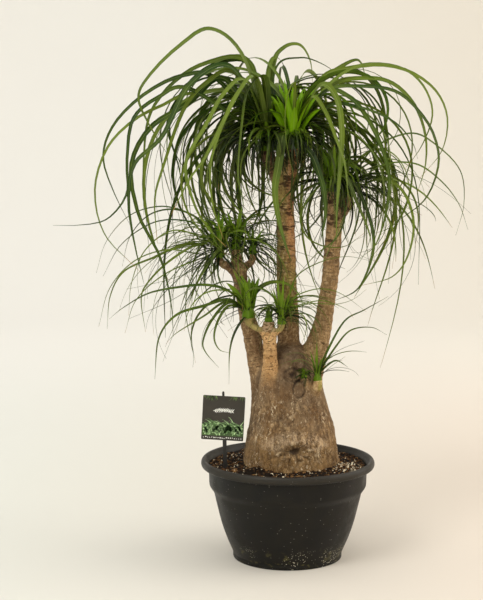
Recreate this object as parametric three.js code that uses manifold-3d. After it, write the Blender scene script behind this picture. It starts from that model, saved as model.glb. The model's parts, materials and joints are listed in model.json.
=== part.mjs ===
// Potted ponytail palm: a swollen trunk with three stems and many leaf heads, in a shallow plastic
// nursery pot. Millimetres, +Z up. The origin is the middle of the pot's underside and the front
// of the plant faces -Y.
import * as THREE from 'three';
import { mergeVertices } from 'three/addons/utils/BufferGeometryUtils.js';
import Module from 'manifold-3d';

const wasm = await Module();
wasm.setup();
const { degToRad, radToDeg, clamp, smoothstep } = THREE.MathUtils;

// Driving dimensions
const GAP = 0.35;
const POT_HEIGHT = 190;
const POT_RIM_RADIUS = 165;
const POT_FOOT_RADIUS = 104;
const POT_WALL = 2.5;
const POT_FLOOR = 3;
const POT_SIDES = 36;
const DRAIN_HOLES = 6;
const DRAIN_RADIUS = 7;
const DRAIN_CIRCLE = 75;
const SOIL_LEVEL = 178;
const SOIL_MOUND = 4;
const CARD_WIDTH = 79;
const CARD_HEIGHT = 84;
const CARD_THICKNESS = 1;
const CARD_CORNER = 2;
const CARD_TURN = degToRad(3);
const CARD_MIDDLE = [-120.7, -46.5, 275.5];
const STAKE_WIDTH = 7.4;
const STAKE_NECK_WIDTH = 4.4;
const STAKE_THICKNESS = 2.4;
const STAKE_FOOT = 112;
const STAKE_NECK = 304;
const STAKE_TOP = 326;
const STAKE_POINT = 16;
const STAKE_TURN = degToRad(-1.45);
const STAKE_X = -118;
const BLADE_THICKNESS = 1.3;
const LEAF_FLOOR = 330;
const LEAF_CEILING = 996;
const GOLDEN_ANGLE = 137.508;
const LEAF_GATHER = 28;
const LEAF_DEPTH = 215;
const LEAF_SWAY = 110;
const YOUNGEST_RISE = 84;
const NECK_CLIMB = 80;
const FINE_STEPS = 24;

// Colours, as seen in daylight
const COLOURS = {
  pot: 0x1f2123, soil: 0x2e231b, bark: 0x8a6f55, leaf: 0x3f6b1f, youngLeaf: 0x6fa32a,
  stake: 0x1b1a18, card: 0x2f2a24,
};

// Outline of the pot's wall from the foot up, as radius and height, and the rolled lip on it
const WALL_OUTSIDE = [
  [POT_FOOT_RADIUS - 1, 0], [POT_FOOT_RADIUS, 7], [104.6, 11.5], [115.4, 36.5], [126.3, 67],
  [136, 107], [140, 125], [149, 140], [150, 172],
];
const LIP = [[160, 174.5], [POT_RIM_RADIUS, 181], [164, 187], [160, POT_HEIGHT], [154.5, 186]];

// Routes of the trunk's limbs: x, y, z and radius at each station, from the root end up
const CAUDEX = [
  [6, 0, 108, 34], [6, 0, 118, 66], [6, 0, 138, 85], [6, 0, 164, 92], [6, 0, 190, 90.5],
  [6.5, 0, 220, 85.5], [5, 0, 262, 75.5], [1, 0, 305, 67], [-1, 0, 332, 61.5], [2, 3, 366, 46],
  [4, 6, 390, 24],
];
const LIMBS = {
  left_stem: [
    [-32, 0, 262, 34], [-50, 0, 340, 20.5], [-61, 0, 382, 17], [-67, 0, 425, 17.5], [-76, 0, 456, 15.5],
    [-84, 0, 498, 14.3], [-93, 0, 545, 13], [-98, 8, 573, 9.5], [-98, 8, 588, 9],
  ],
  left_fork_outer: [[-93, 0, 542, 8], [-112, -3, 555, 8], [-128, -4, 565, 7.5], [-128, -4, 573, 7.5]],
  left_fork_inner: [[-92, 0, 548, 7], [-76, 0, 559, 6.5], [-67, 0, 569, 6.5], [-67, 0, 580, 6.5]],
  front_stub: [
    [-22, -22, 250, 27], [-35, -43, 322, 17.5], [-35, -46, 352, 15], [-33, -47, 388, 13],
    [-36, -48, 438, 11.8], [-36, -48, 458, 10],
  ],
  stub_twig_left: [[-37, -48, 434, 7], [-54, -47, 443, 6], [-74, -46, 456, 8.5], [-74, -46, 465, 9.5]],
  stub_twig_right: [[-34, -48, 431, 7], [-23, -49, 438, 6], [-12, -50, 446, 6.5], [-12, -50, 454, 6.5]],
  centre_stem: [
    [6, 8, 290, 40], [4, 9, 340, 29], [2, 10, 388, 22.5], [-1, 10, 460, 20.3], [-4, 10, 560, 18.4],
    [-6, 8, 640, 17], [-10, 8, 690, 18.5], [-13, 8, 722, 19], [-14, 8, 740, 14],
  ],
  crown_fork_left: [[-12, 8, 714, 14], [-26, 12, 738, 14], [-38, 15, 759, 13.5], [-38, 15, 772, 13.5]],
  crown_fork_centre: [[-8, 6, 714, 14], [2, -1, 738, 14.5], [8, -5, 760, 14], [8, -5, 776, 14]],
  right_stem: [
    [16, 2, 280, 44], [30, 0, 332, 32], [46, 0, 382, 25.5], [61, 2, 428, 20], [71, 3, 480, 16.4],
    [79, 3, 545, 15.5], [84.5, 2, 614, 15.2], [86, 0, 644, 14.4], [82, -7, 680, 11.8], [82, -7, 697, 11.5],
  ],
  right_fork_back: [[86, 1, 640, 10], [100, 11, 655, 9.3], [111, 17, 672, 9], [111, 17, 686, 9]],
  base_nub_front: [[22, -30, 334, 10], [30, -51, 344, 6.5], [30, -51, 351, 6]],
  base_nub_side: [[42, -24, 312, 12], [55, -42, 334, 9], [55, -42, 346, 7.5]],
};

// Roots, each through stations of distance from the trunk's middle, z and radius
const ROOTS = {
  count: 4, firstTurn: 30, route: [[30, 132, 15], [72, 122, 10.5], [104, 96, 7], [101, 48, 3]],
};
const LIMB_SIDES = 10;
const TWIG_SIDES = 7;
const CAUDEX_SIDES = 24;

// Leaf heads. seat: the stem's end that the head grows on. core: radius of the bundle of leaf bases.
// length and width: range in mm. reach: how far out a leaf may arch. low: rise of the oldest leaves
// in degrees. ends: climb at the tip of leaves that hang and of leaves that curl. lean: towards which
// turn, and by how many degrees, the whole head leans. front: how long leaves towards the front are.
// neck: share of the length over which leaves stand steep. heart: number, length and width of the
// young upright leaves in the middle.
const HEADS = [
  { name: 'crown_centre', seat: [8, -5, 776], core: 15, count: 26, length: [300, 620], reach: 290,
    width: [8, 14], low: 18, ends: [-92, -200], lean: [350, 10], front: 0.2, neck: 0.2,
    heart: [8, 116, 18], young: true },
  { name: 'crown_left', seat: [-38, 15, 772], core: 14.5, count: 28, length: [320, 600], reach: 310,
    width: [8, 14], low: 18, ends: [-92, -210], lean: [170, 6], front: 0.35, neck: 0.28,
    heart: [4, 85, 14] },
  { name: 'crown_right_front', seat: [82, -7, 697], core: 12.5, count: 17, length: [140, 300], reach: 230,
    width: [5.5, 9], low: 0, ends: [-50, -190], lean: [330, 12], front: 0.35, neck: 0.15,
    heart: [5, 80, 11], young: true },
  { name: 'crown_right_back', seat: [111, 17, 686], core: 10, count: 18, length: [160, 400], reach: 225,
    width: [5, 8], low: 5, ends: [-20, -190], lean: [10, 18], front: 0.45, neck: 0.12,
    heart: [3, 60, 8], young: true },
  { name: 'crown_low_left_outer', seat: [-128, -4, 573], core: 8.5, count: 19, length: [130, 330],
    reach: 230, width: [4, 6.5], low: -35, ends: [-5, -140], lean: [200, 20], front: 0.8, neck: 0.1,
    heart: [4, 75, 8] },
  { name: 'crown_low_left_middle', seat: [-98, 8, 588], core: 10, count: 15, length: [100, 250],
    reach: 170, width: [4, 6.5], low: -20, ends: [0, -150], lean: [120, 8], front: 0.8, neck: 0.1,
    heart: [4, 75, 8] },
  { name: 'crown_low_left_inner', seat: [-67, 0, 580], core: 7.5, count: 9, length: [80, 160],
    reach: 110, width: [4, 6], low: -20, ends: [0, -150], lean: [330, 15], front: 0.8, neck: 0.1,
    heart: [2, 50, 6] },
  { name: 'shoot_stub_left', seat: [-74, -46, 465], core: 10.5, count: 8, length: [90, 230], reach: 190,
    width: [5, 9], low: -10, ends: [-20, -110], lean: [187, 30], front: 0.8, neck: 0.3,
    heart: [3, 75, 11], young: true },
  { name: 'shoot_stub_right', seat: [-12, -50, 454], core: 7.5, count: 11, length: [60, 170], reach: 130,
    width: [3, 4.5], low: 15, ends: [-10, -110], lean: [0, 12], front: 0.9, neck: 0.25,
    heart: [4, 85, 5], young: true },
  { name: 'shoot_stub_top', seat: [-36, -48, 458], core: 7, count: 5, length: [30, 75], reach: 60,
    width: [3, 4], low: 10, ends: [-10, -80], lean: [90, 0], front: 0.9, neck: 0.1, heart: [2, 25, 4] },
  { name: 'shoot_base_front', seat: [30, -51, 351], core: 5.5, count: 6, length: [18, 34], reach: 30,
    width: [3, 4.5], low: 0, ends: [-10, -110], lean: [265, 15], front: 1, neck: 0, heart: [2, 16, 4] },
  { name: 'shoot_base_side', seat: [55, -42, 346], core: 7, count: 6, length: [60, 150], reach: 110,
    width: [3, 4.5], low: 45, ends: [20, -60], lean: [355, 18], front: 1, neck: 0.3, heart: [2, 60, 4] },
];

// The conspicuous leaves: width, then the points that the leaf passes through after its root
const LONG_LEAVES = {
  crown_left: [
    [14, [-85, -10, 945], [-145, -20, 995], [-205, -30, 960], [-255, -40, 910], [-275, -45, 870],
      [-255, -50, 820], [-220, -60, 765]],
    [12, [-30, 55, 930], [-10, 65, 965], [20, 70, 970], [40, 80, 940], [45, 90, 895]],
    [5, [-25, 40, 925], [20, 45, 945], [60, 55, 935], [100, 60, 910]],
    [11, [-135, 5, 905], [-200, 0, 910], [-270, -5, 875], [-325, -10, 820], [-345, -10, 760],
      [-325, -15, 695], [-295, -20, 635]],
    [7, [-165, -10, 875], [-235, -25, 855], [-290, -35, 825], [-335, -45, 775], [-355, -60, 700],
      [-335, -75, 620], [-270, -90, 555]],
    [9, [-180, -25, 885], [-240, -35, 870], [-285, -50, 830], [-295, -65, 755], [-295, -75, 695],
      [-330, -90, 650], [-380, -100, 640], [-425, -110, 640]],
    [15, [-105, -20, 925], [-180, -35, 895], [-230, -60, 800], [-280, -75, 750], [-290, -90, 685],
      [-280, -105, 615], [-260, -120, 535]],
    [14, [-120, -5, 905], [-185, -20, 860], [-255, -30, 815], [-290, -40, 745], [-275, -55, 655],
      [-235, -70, 580], [-215, -80, 500], [-210, -90, 435]],
    [12, [-100, -10, 915], [-155, -20, 895], [-195, -30, 845], [-230, -45, 745], [-245, -60, 685],
      [-240, -70, 605]],
    [11, [-120, 25, 935], [-175, 25, 930], [-230, 30, 885], [-265, 30, 830], [-275, 35, 735],
      [-275, 40, 650]],
    [14, [-80, -30, 900], [-120, -45, 875], [-150, -65, 820], [-185, -90, 755], [-175, -110, 695],
      [-150, -130, 645], [-110, -150, 605]],
    [12, [-115, 45, 935], [-160, 55, 925], [-210, 65, 875], [-235, 75, 820], [-215, 90, 745],
      [-200, 100, 675]],
    [15, [-60, -50, 905], [-90, -70, 880], [-125, -105, 810], [-150, -135, 760], [-175, -155, 725],
      [-205, -190, 665]],
    [16, [-45, -40, 905], [-75, -60, 880], [-85, -90, 810], [-90, -125, 730], [-80, -150, 680],
      [-90, -170, 635]],
    [12, [-60, -35, 905], [-95, -55, 875], [-120, -75, 820], [-140, -105, 750], [-135, -135, 680],
      [-115, -160, 620]],
  ],
  crown_centre: [
    [16, [-10, -32, 802], [-14, -50, 780], [-19, -70, 745], [-25, -92, 700], [-15, -120, 640],
      [5, -150, 580]],
    [6, [10, -60, 895], [-5, -75, 860], [-5, -105, 795], [10, -140, 725]],
    [15, [55, -50, 890], [85, -60, 870], [95, -85, 810], [90, -115, 725], [85, -140, 665], [85, -160, 610]],
    [11, [40, -50, 870], [65, -65, 845], [85, -95, 795], [100, -120, 750], [105, -150, 690]],
    [13, [28, -28, 780], [44, -45, 762], [56, -60, 730], [64, -80, 700], [66, -98, 655], [56, -120, 610]],
    [14, [45, 25, 885], [85, 35, 920], [120, 45, 940], [135, 50, 935], [145, 60, 905]],
    [9, [60, 5, 905], [115, 5, 925], [175, 10, 930], [230, 15, 915], [275, 20, 880], [295, 20, 830],
      [285, 25, 770], [245, 30, 720]],
    [8, [65, -20, 885], [120, -25, 925], [175, -30, 930], [220, -35, 915], [250, -45, 880], [260, -50, 835],
      [240, -55, 780], [210, -60, 740]],
    [12, [75, -15, 890], [140, -20, 905], [190, -25, 895], [230, -30, 855], [250, -30, 800],
      [250, -35, 745], [235, -40, 695]],
    [10, [65, -25, 880], [130, -35, 890], [195, -45, 880], [240, -50, 840], [265, -60, 795],
      [270, -70, 745], [245, -80, 685], [185, -90, 640]],
    [11, [65, -40, 880], [110, -50, 870], [140, -65, 835], [165, -85, 785], [180, -100, 730],
      [175, -120, 670], [155, -140, 610], [125, -150, 585]],
    [9, [75, -40, 855], [135, -60, 850], [190, -80, 825], [220, -100, 790], [230, -110, 760]],
  ],
  crown_right_front: [
    [8, [115, -20, 720], [140, -35, 675], [155, -60, 620], [150, -80, 575], [125, -100, 525],
      [80, -120, 505]],
    [8, [105, -30, 725], [125, -55, 680], [145, -85, 630], [150, -100, 600]],
  ],
  crown_right_back: [
    [4, [155, 0, 775], [225, -15, 805], [275, -25, 780], [315, -35, 735], [320, -50, 675], [305, -60, 620]],
    [5, [170, -20, 745], [230, -50, 750], [275, -75, 720], [305, -100, 680], [320, -120, 635]],
    [6, [170, 0, 720], [210, -15, 700], [230, -35, 645], [220, -55, 585], [190, -70, 545], [130, -90, 530]],
  ],
  crown_low_left_outer: [
    [5, [-185, -15, 600], [-250, -25, 575], [-305, -40, 550], [-330, -50, 505], [-335, -60, 445]],
    [5, [-165, -20, 600], [-220, -40, 570], [-260, -65, 530], [-270, -75, 500], [-260, -100, 445]],
  ],
  crown_low_left_middle: [[8, [-120, -25, 600], [-155, -45, 555], [-175, -55, 515], [-185, -70, 485]]],
  shoot_stub_left: [
    [6, [-110, -50, 515], [-150, -65, 528], [-200, -75, 525], [-255, -90, 515], [-300, -100, 490],
      [-325, -110, 470]],
    [6, [-110, -55, 500], [-155, -70, 490], [-205, -90, 475], [-235, -110, 435], [-240, -140, 365]],
    [5, [-115, -50, 495], [-155, -60, 470], [-205, -75, 440], [-225, -80, 420]],
    [6, [-110, -60, 495], [-140, -80, 465], [-155, -100, 430], [-150, -110, 410], [-125, -130, 385]],
    [6, [-108, -68, 490], [-128, -82, 465], [-135, -95, 435], [-125, -110, 415], [-105, -120, 410]],
  ],
  shoot_base_side: [
    [5, [76, -48, 410], [105, -45, 460], [140, -45, 480], [185, -40, 505]],
    [4, [85, -38, 405], [115, -35, 440], [155, -25, 445], [185, -20, 430]],
    [5, [74, -52, 378], [90, -75, 390], [110, -90, 380]],
  ],
};

// Solids: geometries made ready for joining and cutting
function solidOf(geometry) {
  const bare = new THREE.BufferGeometry();
  bare.setAttribute('position', geometry.getAttribute('position'));
  bare.setIndex(geometry.getIndex());
  const merged = mergeVertices(bare, 1e-4);
  const corners = merged.getIndex().array;
  const faces = [];
  for (let i = 0; i < corners.length; i += 3) {
    const [a, b, c] = corners.slice(i, i + 3);
    if (a !== b && b !== c && c !== a) faces.push(a, b, c);
  }
  return new wasm.Manifold(new wasm.Mesh({
    numProp: 3,
    vertProperties: Float32Array.from(merged.getAttribute('position').array),
    triVerts: Uint32Array.from(faces),
  }));
}

// The largest body of a solid, as a named mesh
function meshOf(name, solid, colour, roughness) {
  const bodies = solid.decompose().sort((a, b) => b.volume() - a.volume());
  const { vertProperties, triVerts } = bodies[0].getMesh();
  const geometry = new THREE.BufferGeometry();
  geometry.setAttribute('position', new THREE.BufferAttribute(vertProperties, 3));
  geometry.setIndex(new THREE.BufferAttribute(triVerts, 1));
  geometry.computeVertexNormals();
  const material = new THREE.MeshStandardMaterial({ color: colour, roughness, metalness: 0 });
  const mesh = new THREE.Mesh(geometry, material);
  mesh.name = name;
  return mesh;
}

// A closed skin over a row of rings of points. A ring of one point closes an end.
function skin(rings) {
  const faces = [];
  let here = 0;
  for (let k = 0; k + 1 < rings.length; k++) {
    const next = here + rings[k].length;
    const sides = Math.max(rings[k].length, rings[k + 1].length);
    const corner = (start, ring, i) => start + (ring.length > 1 ? i % sides : 0);
    for (let i = 0; i < sides; i++) {
      const a = corner(here, rings[k], i);
      const b = corner(here, rings[k], i + 1);
      const c = corner(next, rings[k + 1], i + 1);
      const d = corner(next, rings[k + 1], i);
      if (rings[k].length > 1) faces.push(a, b, c);
      if (rings[k + 1].length > 1) faces.push(a, c, d);
    }
    here = next;
  }
  const geometry = new THREE.BufferGeometry().setFromPoints(rings.flat());
  geometry.setIndex(faces);
  return geometry;
}

// Directions along a route: forward, across and up at each point, turned as little as possible
function framesAlong(route, across) {
  let side = across.clone();
  return route.map((point, k) => {
    const before = route[Math.max(k - 1, 0)];
    const after = route[Math.min(k + 1, route.length - 1)];
    const forward = after.clone().sub(before).normalize();
    side = side.clone().addScaledVector(forward, -side.dot(forward)).normalize();
    return { point, forward, side, up: forward.clone().cross(side) };
  });
}

// A limb: a round tube through stations of x, y, z and radius, with flat ends
function limb(stations, sides, extra = 0) {
  const route = stations.map(([x, y, z]) => new THREE.Vector3(x, y, z));
  const rings = framesAlong(route, new THREE.Vector3(1, 0, 0)).map(({ point, side, up }, k) => {
    const radius = stations[k][3] + extra;
    return Array.from({ length: sides }, (_, i) => {
      const turn = (2 * Math.PI * i) / sides;
      return point.clone().addScaledVector(side, radius * Math.cos(turn))
        .addScaledVector(up, radius * Math.sin(turn));
    });
  });
  return solidOf(skin([[route[0]], ...rings, [route.at(-1)]]));
}

function lathe(profile) {
  return solidOf(new THREE.LatheGeometry(profile.map(([r, z]) => new THREE.Vector2(r, z)), POT_SIDES)
    .rotateX(Math.PI / 2));
}

// Pot: turned wall with a shoulder and a rolled lip, and drain holes round the floor
const WALL_INSIDE = WALL_OUTSIDE.slice(2).map(([r, z]) => [r - POT_WALL, z]).reverse();

function pot() {
  const floorEdge = [POT_FOOT_RADIUS - POT_WALL - 1, POT_FLOOR];
  let solid = lathe([[0, 0], ...WALL_OUTSIDE, ...LIP, ...WALL_INSIDE, floorEdge, [0, POT_FLOOR]]);
  for (let k = 0; k < DRAIN_HOLES; k++) {
    const turn = (2 * Math.PI * (k + 0.5)) / DRAIN_HOLES;
    const hole = new THREE.CylinderGeometry(DRAIN_RADIUS, DRAIN_RADIUS, 4 * POT_FLOOR, 12)
      .rotateX(Math.PI / 2)
      .translate(DRAIN_CIRCLE * Math.cos(turn), DRAIN_CIRCLE * Math.sin(turn), POT_FLOOR / 2);
    solid = solid.subtract(solidOf(hole));
  }
  return meshOf('pot', solid, COLOURS.pot, 0.6);
}

// Roots: spreading from under the swollen base and turning down inside the pot
function roots(extra = 0) {
  return Array.from({ length: ROOTS.count }, (_, k) => {
    const turn = degToRad(ROOTS.firstTurn + (360 * k) / ROOTS.count);
    const stations = ROOTS.route.map(([reach, z, radius]) =>
      [6 + reach * Math.cos(turn), reach * Math.sin(turn), z, radius]);
    return limb(stations, 5, extra);
  });
}

// Soil: fills the pot up to just under the lip, with a low mound round the trunk and plain holes
// where the trunk, its roots and the label's stake stand in it
function soil() {
  const wall = [...WALL_INSIDE].reverse().map(([r, z]) => [r - GAP, z]);
  const side = [[POT_FOOT_RADIUS - POT_WALL - 1 - GAP, POT_FLOOR + GAP], ...wall, [149, SOIL_LEVEL - 1]];
  const top = [[104, SOIL_LEVEL + SOIL_MOUND], [60, SOIL_LEVEL + SOIL_MOUND + 2]];
  let solid = lathe([[0, POT_FLOOR + GAP], ...side, ...top, [0, SOIL_LEVEL + SOIL_MOUND + 2]]);
  solid = solid.subtract(limb(CAUDEX, CAUDEX_SIDES, 2 * GAP));
  for (const root of roots(GAP)) solid = solid.subtract(root);
  solid = solid.subtract(solidOf(stakeShape(GAP)));
  return meshOf('soil', solid, COLOURS.soil, 0.95);
}

// Trunk: swollen base, stems, forks, twigs and roots grown together
function trunk() {
  let solid = limb(CAUDEX, CAUDEX_SIDES);
  for (const stations of Object.values(LIMBS)) {
    const isTwig = Math.max(...stations.map((station) => station[3])) < 15.5;
    solid = solid.add(limb(stations, isTwig ? TWIG_SIDES : LIMB_SIDES));
  }
  for (const root of roots()) solid = solid.add(root);
  return meshOf('trunk', solid, COLOURS.bark, 0.9);
}

// Label: a flat stake with a pointed foot and a round-ended neck, leaning a little, and a card
// that stands in front of it. extra makes the stake larger all round, for its hole in the soil.
function stakeShape(extra = 0) {
  const half = STAKE_WIDTH / 2 + extra;
  const neck = STAKE_NECK_WIDTH / 2 + extra;
  const middle = (STAKE_FOOT + STAKE_TOP) / 2;
  const outline = new THREE.Shape();
  outline.moveTo(-1 - extra, STAKE_FOOT - extra - middle);
  outline.lineTo(1 + extra, STAKE_FOOT - extra - middle);
  outline.lineTo(half, STAKE_FOOT + STAKE_POINT - middle);
  outline.lineTo(half, STAKE_NECK - middle);
  outline.lineTo(neck, STAKE_NECK + 3 - middle);
  outline.absarc(0, STAKE_TOP - neck - middle, neck, 0, Math.PI);
  outline.lineTo(-neck, STAKE_NECK + 3 - middle);
  outline.lineTo(-half, STAKE_NECK - middle);
  outline.lineTo(-half, STAKE_FOOT + STAKE_POINT - middle);
  const depth = STAKE_THICKNESS + 2 * extra;
  const front = CARD_MIDDLE[1] + CARD_THICKNESS / 2 + GAP - extra;
  return new THREE.ExtrudeGeometry(outline, { depth, bevelEnabled: false, curveSegments: 6 })
    .rotateX(Math.PI / 2)
    .rotateY(STAKE_TURN)
    .translate(STAKE_X, front + depth, middle);
}

function labelStake() {
  return meshOf('label_stake', solidOf(stakeShape()), COLOURS.stake, 0.6);
}

function labelCard() {
  const [right, top] = [CARD_WIDTH / 2 - CARD_CORNER, CARD_HEIGHT / 2 - CARD_CORNER];
  const outline = new THREE.Shape();
  outline.absarc(right, top, CARD_CORNER, 0, Math.PI / 2);
  outline.absarc(-right, top, CARD_CORNER, Math.PI / 2, Math.PI);
  outline.absarc(-right, -top, CARD_CORNER, Math.PI, 1.5 * Math.PI);
  outline.absarc(right, -top, CARD_CORNER, 1.5 * Math.PI, 2 * Math.PI);
  const options = { depth: CARD_THICKNESS, bevelEnabled: false, curveSegments: 3 };
  const card = new THREE.ExtrudeGeometry(outline, options)
    .translate(0, 0, -CARD_THICKNESS / 2)
    .rotateX(Math.PI / 2)
    .rotateY(CARD_TURN)
    .translate(...CARD_MIDDLE);
  return meshOf('label_card', solidOf(card), COLOURS.card, 0.4);
}

// A fixed draw between 0 and 1 for one quality of one leaf of one head
function chance(head, leaf, quality) {
  const value = Math.sin(head * 127.1 + leaf * 311.7 + quality * 74.7) * 43758.5453;
  return value - Math.floor(value);
}

const mix = (from, to, share) => from + (to - from) * share;

// Where a leaf leaves the core: the oldest leaves low down, the youngest at the top
function rootOf({ seat: [x, y, z], core }, turn, age) {
  const bearing = degToRad(turn);
  const out = core * mix(0.1, 0.6, age);
  const height = core * mix(2.6, 0.4, age);
  return new THREE.Vector3(x + out * Math.cos(bearing), y + out * Math.sin(bearing), z + height);
}

// A route of one unit of length from the origin, from its climb and bearing at each share of it
function unitRoute(climbAt, bearingAt) {
  const point = new THREE.Vector3();
  const route = [point.clone()];
  for (let k = 0; k < FINE_STEPS; k++) {
    const share = (k + 0.5) / FINE_STEPS;
    const climb = degToRad(climbAt(share));
    const bearing = degToRad(bearingAt(share));
    point.add(new THREE.Vector3(
      Math.cos(climb) * Math.cos(bearing), Math.cos(climb) * Math.sin(bearing), Math.sin(climb),
    ).divideScalar(FINE_STEPS));
    route.push(point.clone());
  }
  return route;
}

// The route of an ordinary leaf. It leaves the head at its rise, steeper over its neck, and bends
// over to the climb of its end: soon, if it hangs, or all along, if it curls. Leaves are gathered
// a little towards the head's lean. Leaves towards the front start lower and are shorter.
function leafRoute(head, headNumber, leaf, attempt) {
  const draw = (quality) => chance(headNumber, leaf + 0.37 * attempt, quality);
  const age = (leaf + 0.5) / head.count;
  const even = leaf * GOLDEN_ANGLE + mix(-14, 14, draw(1)) + attempt * 23;
  const turn = even - LEAF_GATHER * Math.sin(degToRad(even - head.lean[0]));
  const front = smoothstep(-Math.sin(degToRad(turn)), 0, 0.5);
  const lean = head.lean[1] * Math.cos(degToRad(turn - head.lean[0]));
  const freeRise = mix(YOUNGEST_RISE, head.low, age ** 1.2) + mix(-8, 8, draw(2)) - lean;
  const rise = mix(freeRise, Math.min(freeRise, 5 + 60 * head.front), front);
  const curl = draw(4);
  const end = mix(...head.ends, curl) * mix(0.5, 1, clamp(age / 0.2, 0, 1));
  const stiffness = mix(1.6, 1, age) + mix(-0.2, 0.4, draw(5));
  const sway = mix(-LEAF_SWAY, LEAF_SWAY, draw(6));
  const neck = head.neck * mix(1.2, 0.5, age);
  const route = unitRoute((share) => {
    const bent = (1 - (1 - share) ** mix(2.2, 1.05, curl)) ** stiffness;
    const climb = mix(rise, end, bent);
    return mix(climb, Math.max(climb, NECK_CLIMB), (1 - smoothstep(share, 0, neck)) * (1 - front));
  }, (share) => turn + sway * share ** 2);
  const fullness = mix(0.25, 1, clamp(age / 0.3, 0, 1)) * mix(1, head.front, front);
  const widest = Math.max(...route.map(({ x, y }) => Math.hypot(x, y)));
  const deepest = Math.max(...route.map(({ y }) => Math.abs(y)));
  const longest = Math.min(head.reach / widest, LEAF_DEPTH / deepest);
  const length = Math.min(mix(...head.length, draw(3)) * fullness, longest);
  const width = mix(...head.width, draw(7)) * mix(0.75, 1, fullness) * mix(1, 0.65, front);
  return leafAlong(placed(route, length, rootOf(head, turn, age)), Math.round(2.3 + length / 190), width);
}

// The route of a young upright leaf in the middle of a head: straight, with a tip that leans out
function heartRoute(head, headNumber, leaf, attempt) {
  const draw = (quality) => chance(headNumber + 20, leaf + 0.37 * attempt, quality);
  const [count, longest, broadest] = head.heart;
  const turn = leaf * GOLDEN_ANGLE + 90 * draw(1) + attempt * 17;
  const spread = ((leaf + 0.5) / count) ** 0.6;
  const tilt = mix(2, 24, spread) + (head.lean[1] / 2) * Math.cos(degToRad(turn - head.lean[0]));
  const route = unitRoute((share) => 90 - tilt * (0.6 + 1.1 * share ** 2), () => turn);
  const length = longest * mix(0.8, 1.1, draw(2)) * mix(1, 0.75, spread);
  return leafAlong(placed(route, length, rootOf(head, turn, mix(0.5, 0.9, spread))), 3, broadest);
}

const placed = (route, length, root) => route.map((step) => step.multiplyScalar(length).add(root));

// The route of a conspicuous leaf: a smooth curve from the head through the points given for it.
// Each attempt bows it a little further towards the front or the back.
function longLeafRoute(head, [width, ...points], attempt) {
  const [x, y, z] = points[0].map((value, axis) => value - head.seat[axis]);
  const rise = radToDeg(Math.atan2(z, Math.hypot(x, y)));
  const root = rootOf(head, radToDeg(Math.atan2(y, x)), 1 - Math.max(rise, 0) / 90);
  const bow = (attempt % 2 ? 1 : -1) * 6 * Math.ceil(attempt / 2);
  const bowed = points.map(([x, y, z], k) =>
    new THREE.Vector3(x, y + bow * Math.sin((Math.PI * (k + 1)) / (points.length + 0.5)), z));
  const curve = new THREE.CatmullRomCurve3([root, ...bowed], false, 'catmullrom', 0.5);
  return leafAlong(curve.getSpacedPoints(FINE_STEPS), Math.round(3.8 + curve.getLength() / 200), width);
}

// Half the width of a blade at a share of its length: narrowed at the root, tapered to the tip
function halfWidth(width, share) {
  return (width / 2) * mix(0.45, 1, Math.min(1, share / 0.18)) * (1 - share ** 2.4) ** 0.85;
}

// A leaf as stations along its route, closer together where it bends, each with its half width.
// The across direction is level at the root.
function leafAlong(route, segments, width) {
  const middle = route[FINE_STEPS / 2].clone().sub(route[0]);
  const frames = framesAlong(route, new THREE.Vector3(-middle.y, middle.x, 0).normalize());
  const effort = [0];
  for (let k = 1; k < frames.length; k++) {
    effort.push(effort[k - 1] + 0.08 + frames[k].forward.angleTo(frames[k - 1].forward));
  }
  const stations = Array.from({ length: segments + 1 }, (_, i) => {
    const k = effort.findIndex((value) => value >= (effort.at(-1) * i) / segments - 1e-9);
    const share = k / FINE_STEPS;
    return { ...frames[k], share, half: halfWidth(width, share) };
  });
  return stations.filter((station, i) => station.share !== stations[i - 1]?.share);
}

// A blade: three-sided section with a flat top and a keel under it, ending in a point
function blade(stations) {
  const rings = stations.slice(0, -1).map(({ point, side, up, share, half }) => {
    const keel = BLADE_THICKNESS * mix(1.25, 0.75, share);
    return [
      point.clone().addScaledVector(side, half),
      point.clone().addScaledVector(side, -half),
      point.clone().addScaledVector(up, -keel),
    ];
  });
  return solidOf(skin([[stations[0].point], ...rings, [stations.at(-1).point]]));
}

// What the leaves must keep clear of: points spread over every surface, in cells of the clearance
const SPREAD = 4;
const CLEARANCE = 6.2;
const crowd = new Map();
const cellOf = (value) => Math.floor(value / CLEARANCE);

function occupy(points, owner) {
  for (const point of points) {
    const key = `${cellOf(point.x)},${cellOf(point.y)},${cellOf(point.z)}`;
    if (!crowd.has(key)) crowd.set(key, []);
    crowd.get(key).push({ point, owner });
  }
}

function isNear(point, isRival) {
  const [cx, cy, cz] = [cellOf(point.x), cellOf(point.y), cellOf(point.z)];
  for (let x = cx - 1; x <= cx + 1; x++) {
    for (let y = cy - 1; y <= cy + 1; y++) {
      for (let z = cz - 1; z <= cz + 1; z++) {
        const near = crowd.get(`${x},${y},${z}`) ?? [];
        if (near.some((other) => isRival(other) && other.point.distanceTo(point) < CLEARANCE)) return true;
      }
    }
  }
  return false;
}

function pointsOnLimb(stations) {
  const points = [];
  for (let k = 0; k + 1 < stations.length; k++) {
    const [from, to] = [stations[k], stations[k + 1]];
    const steps = Math.ceil((to[2] - from[2]) / SPREAD) + 1;
    for (let s = 0; s < steps; s++) {
      const [x, y, z, radius] = from.map((value, axis) => mix(value, to[axis], s / steps));
      const sides = Math.ceil((2 * Math.PI * radius) / SPREAD);
      for (let i = 0; i < sides; i++) {
        const turn = (2 * Math.PI * i) / sides;
        points.push(new THREE.Vector3(x + radius * Math.cos(turn), y + radius * Math.sin(turn), z));
      }
    }
  }
  return points;
}

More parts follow.
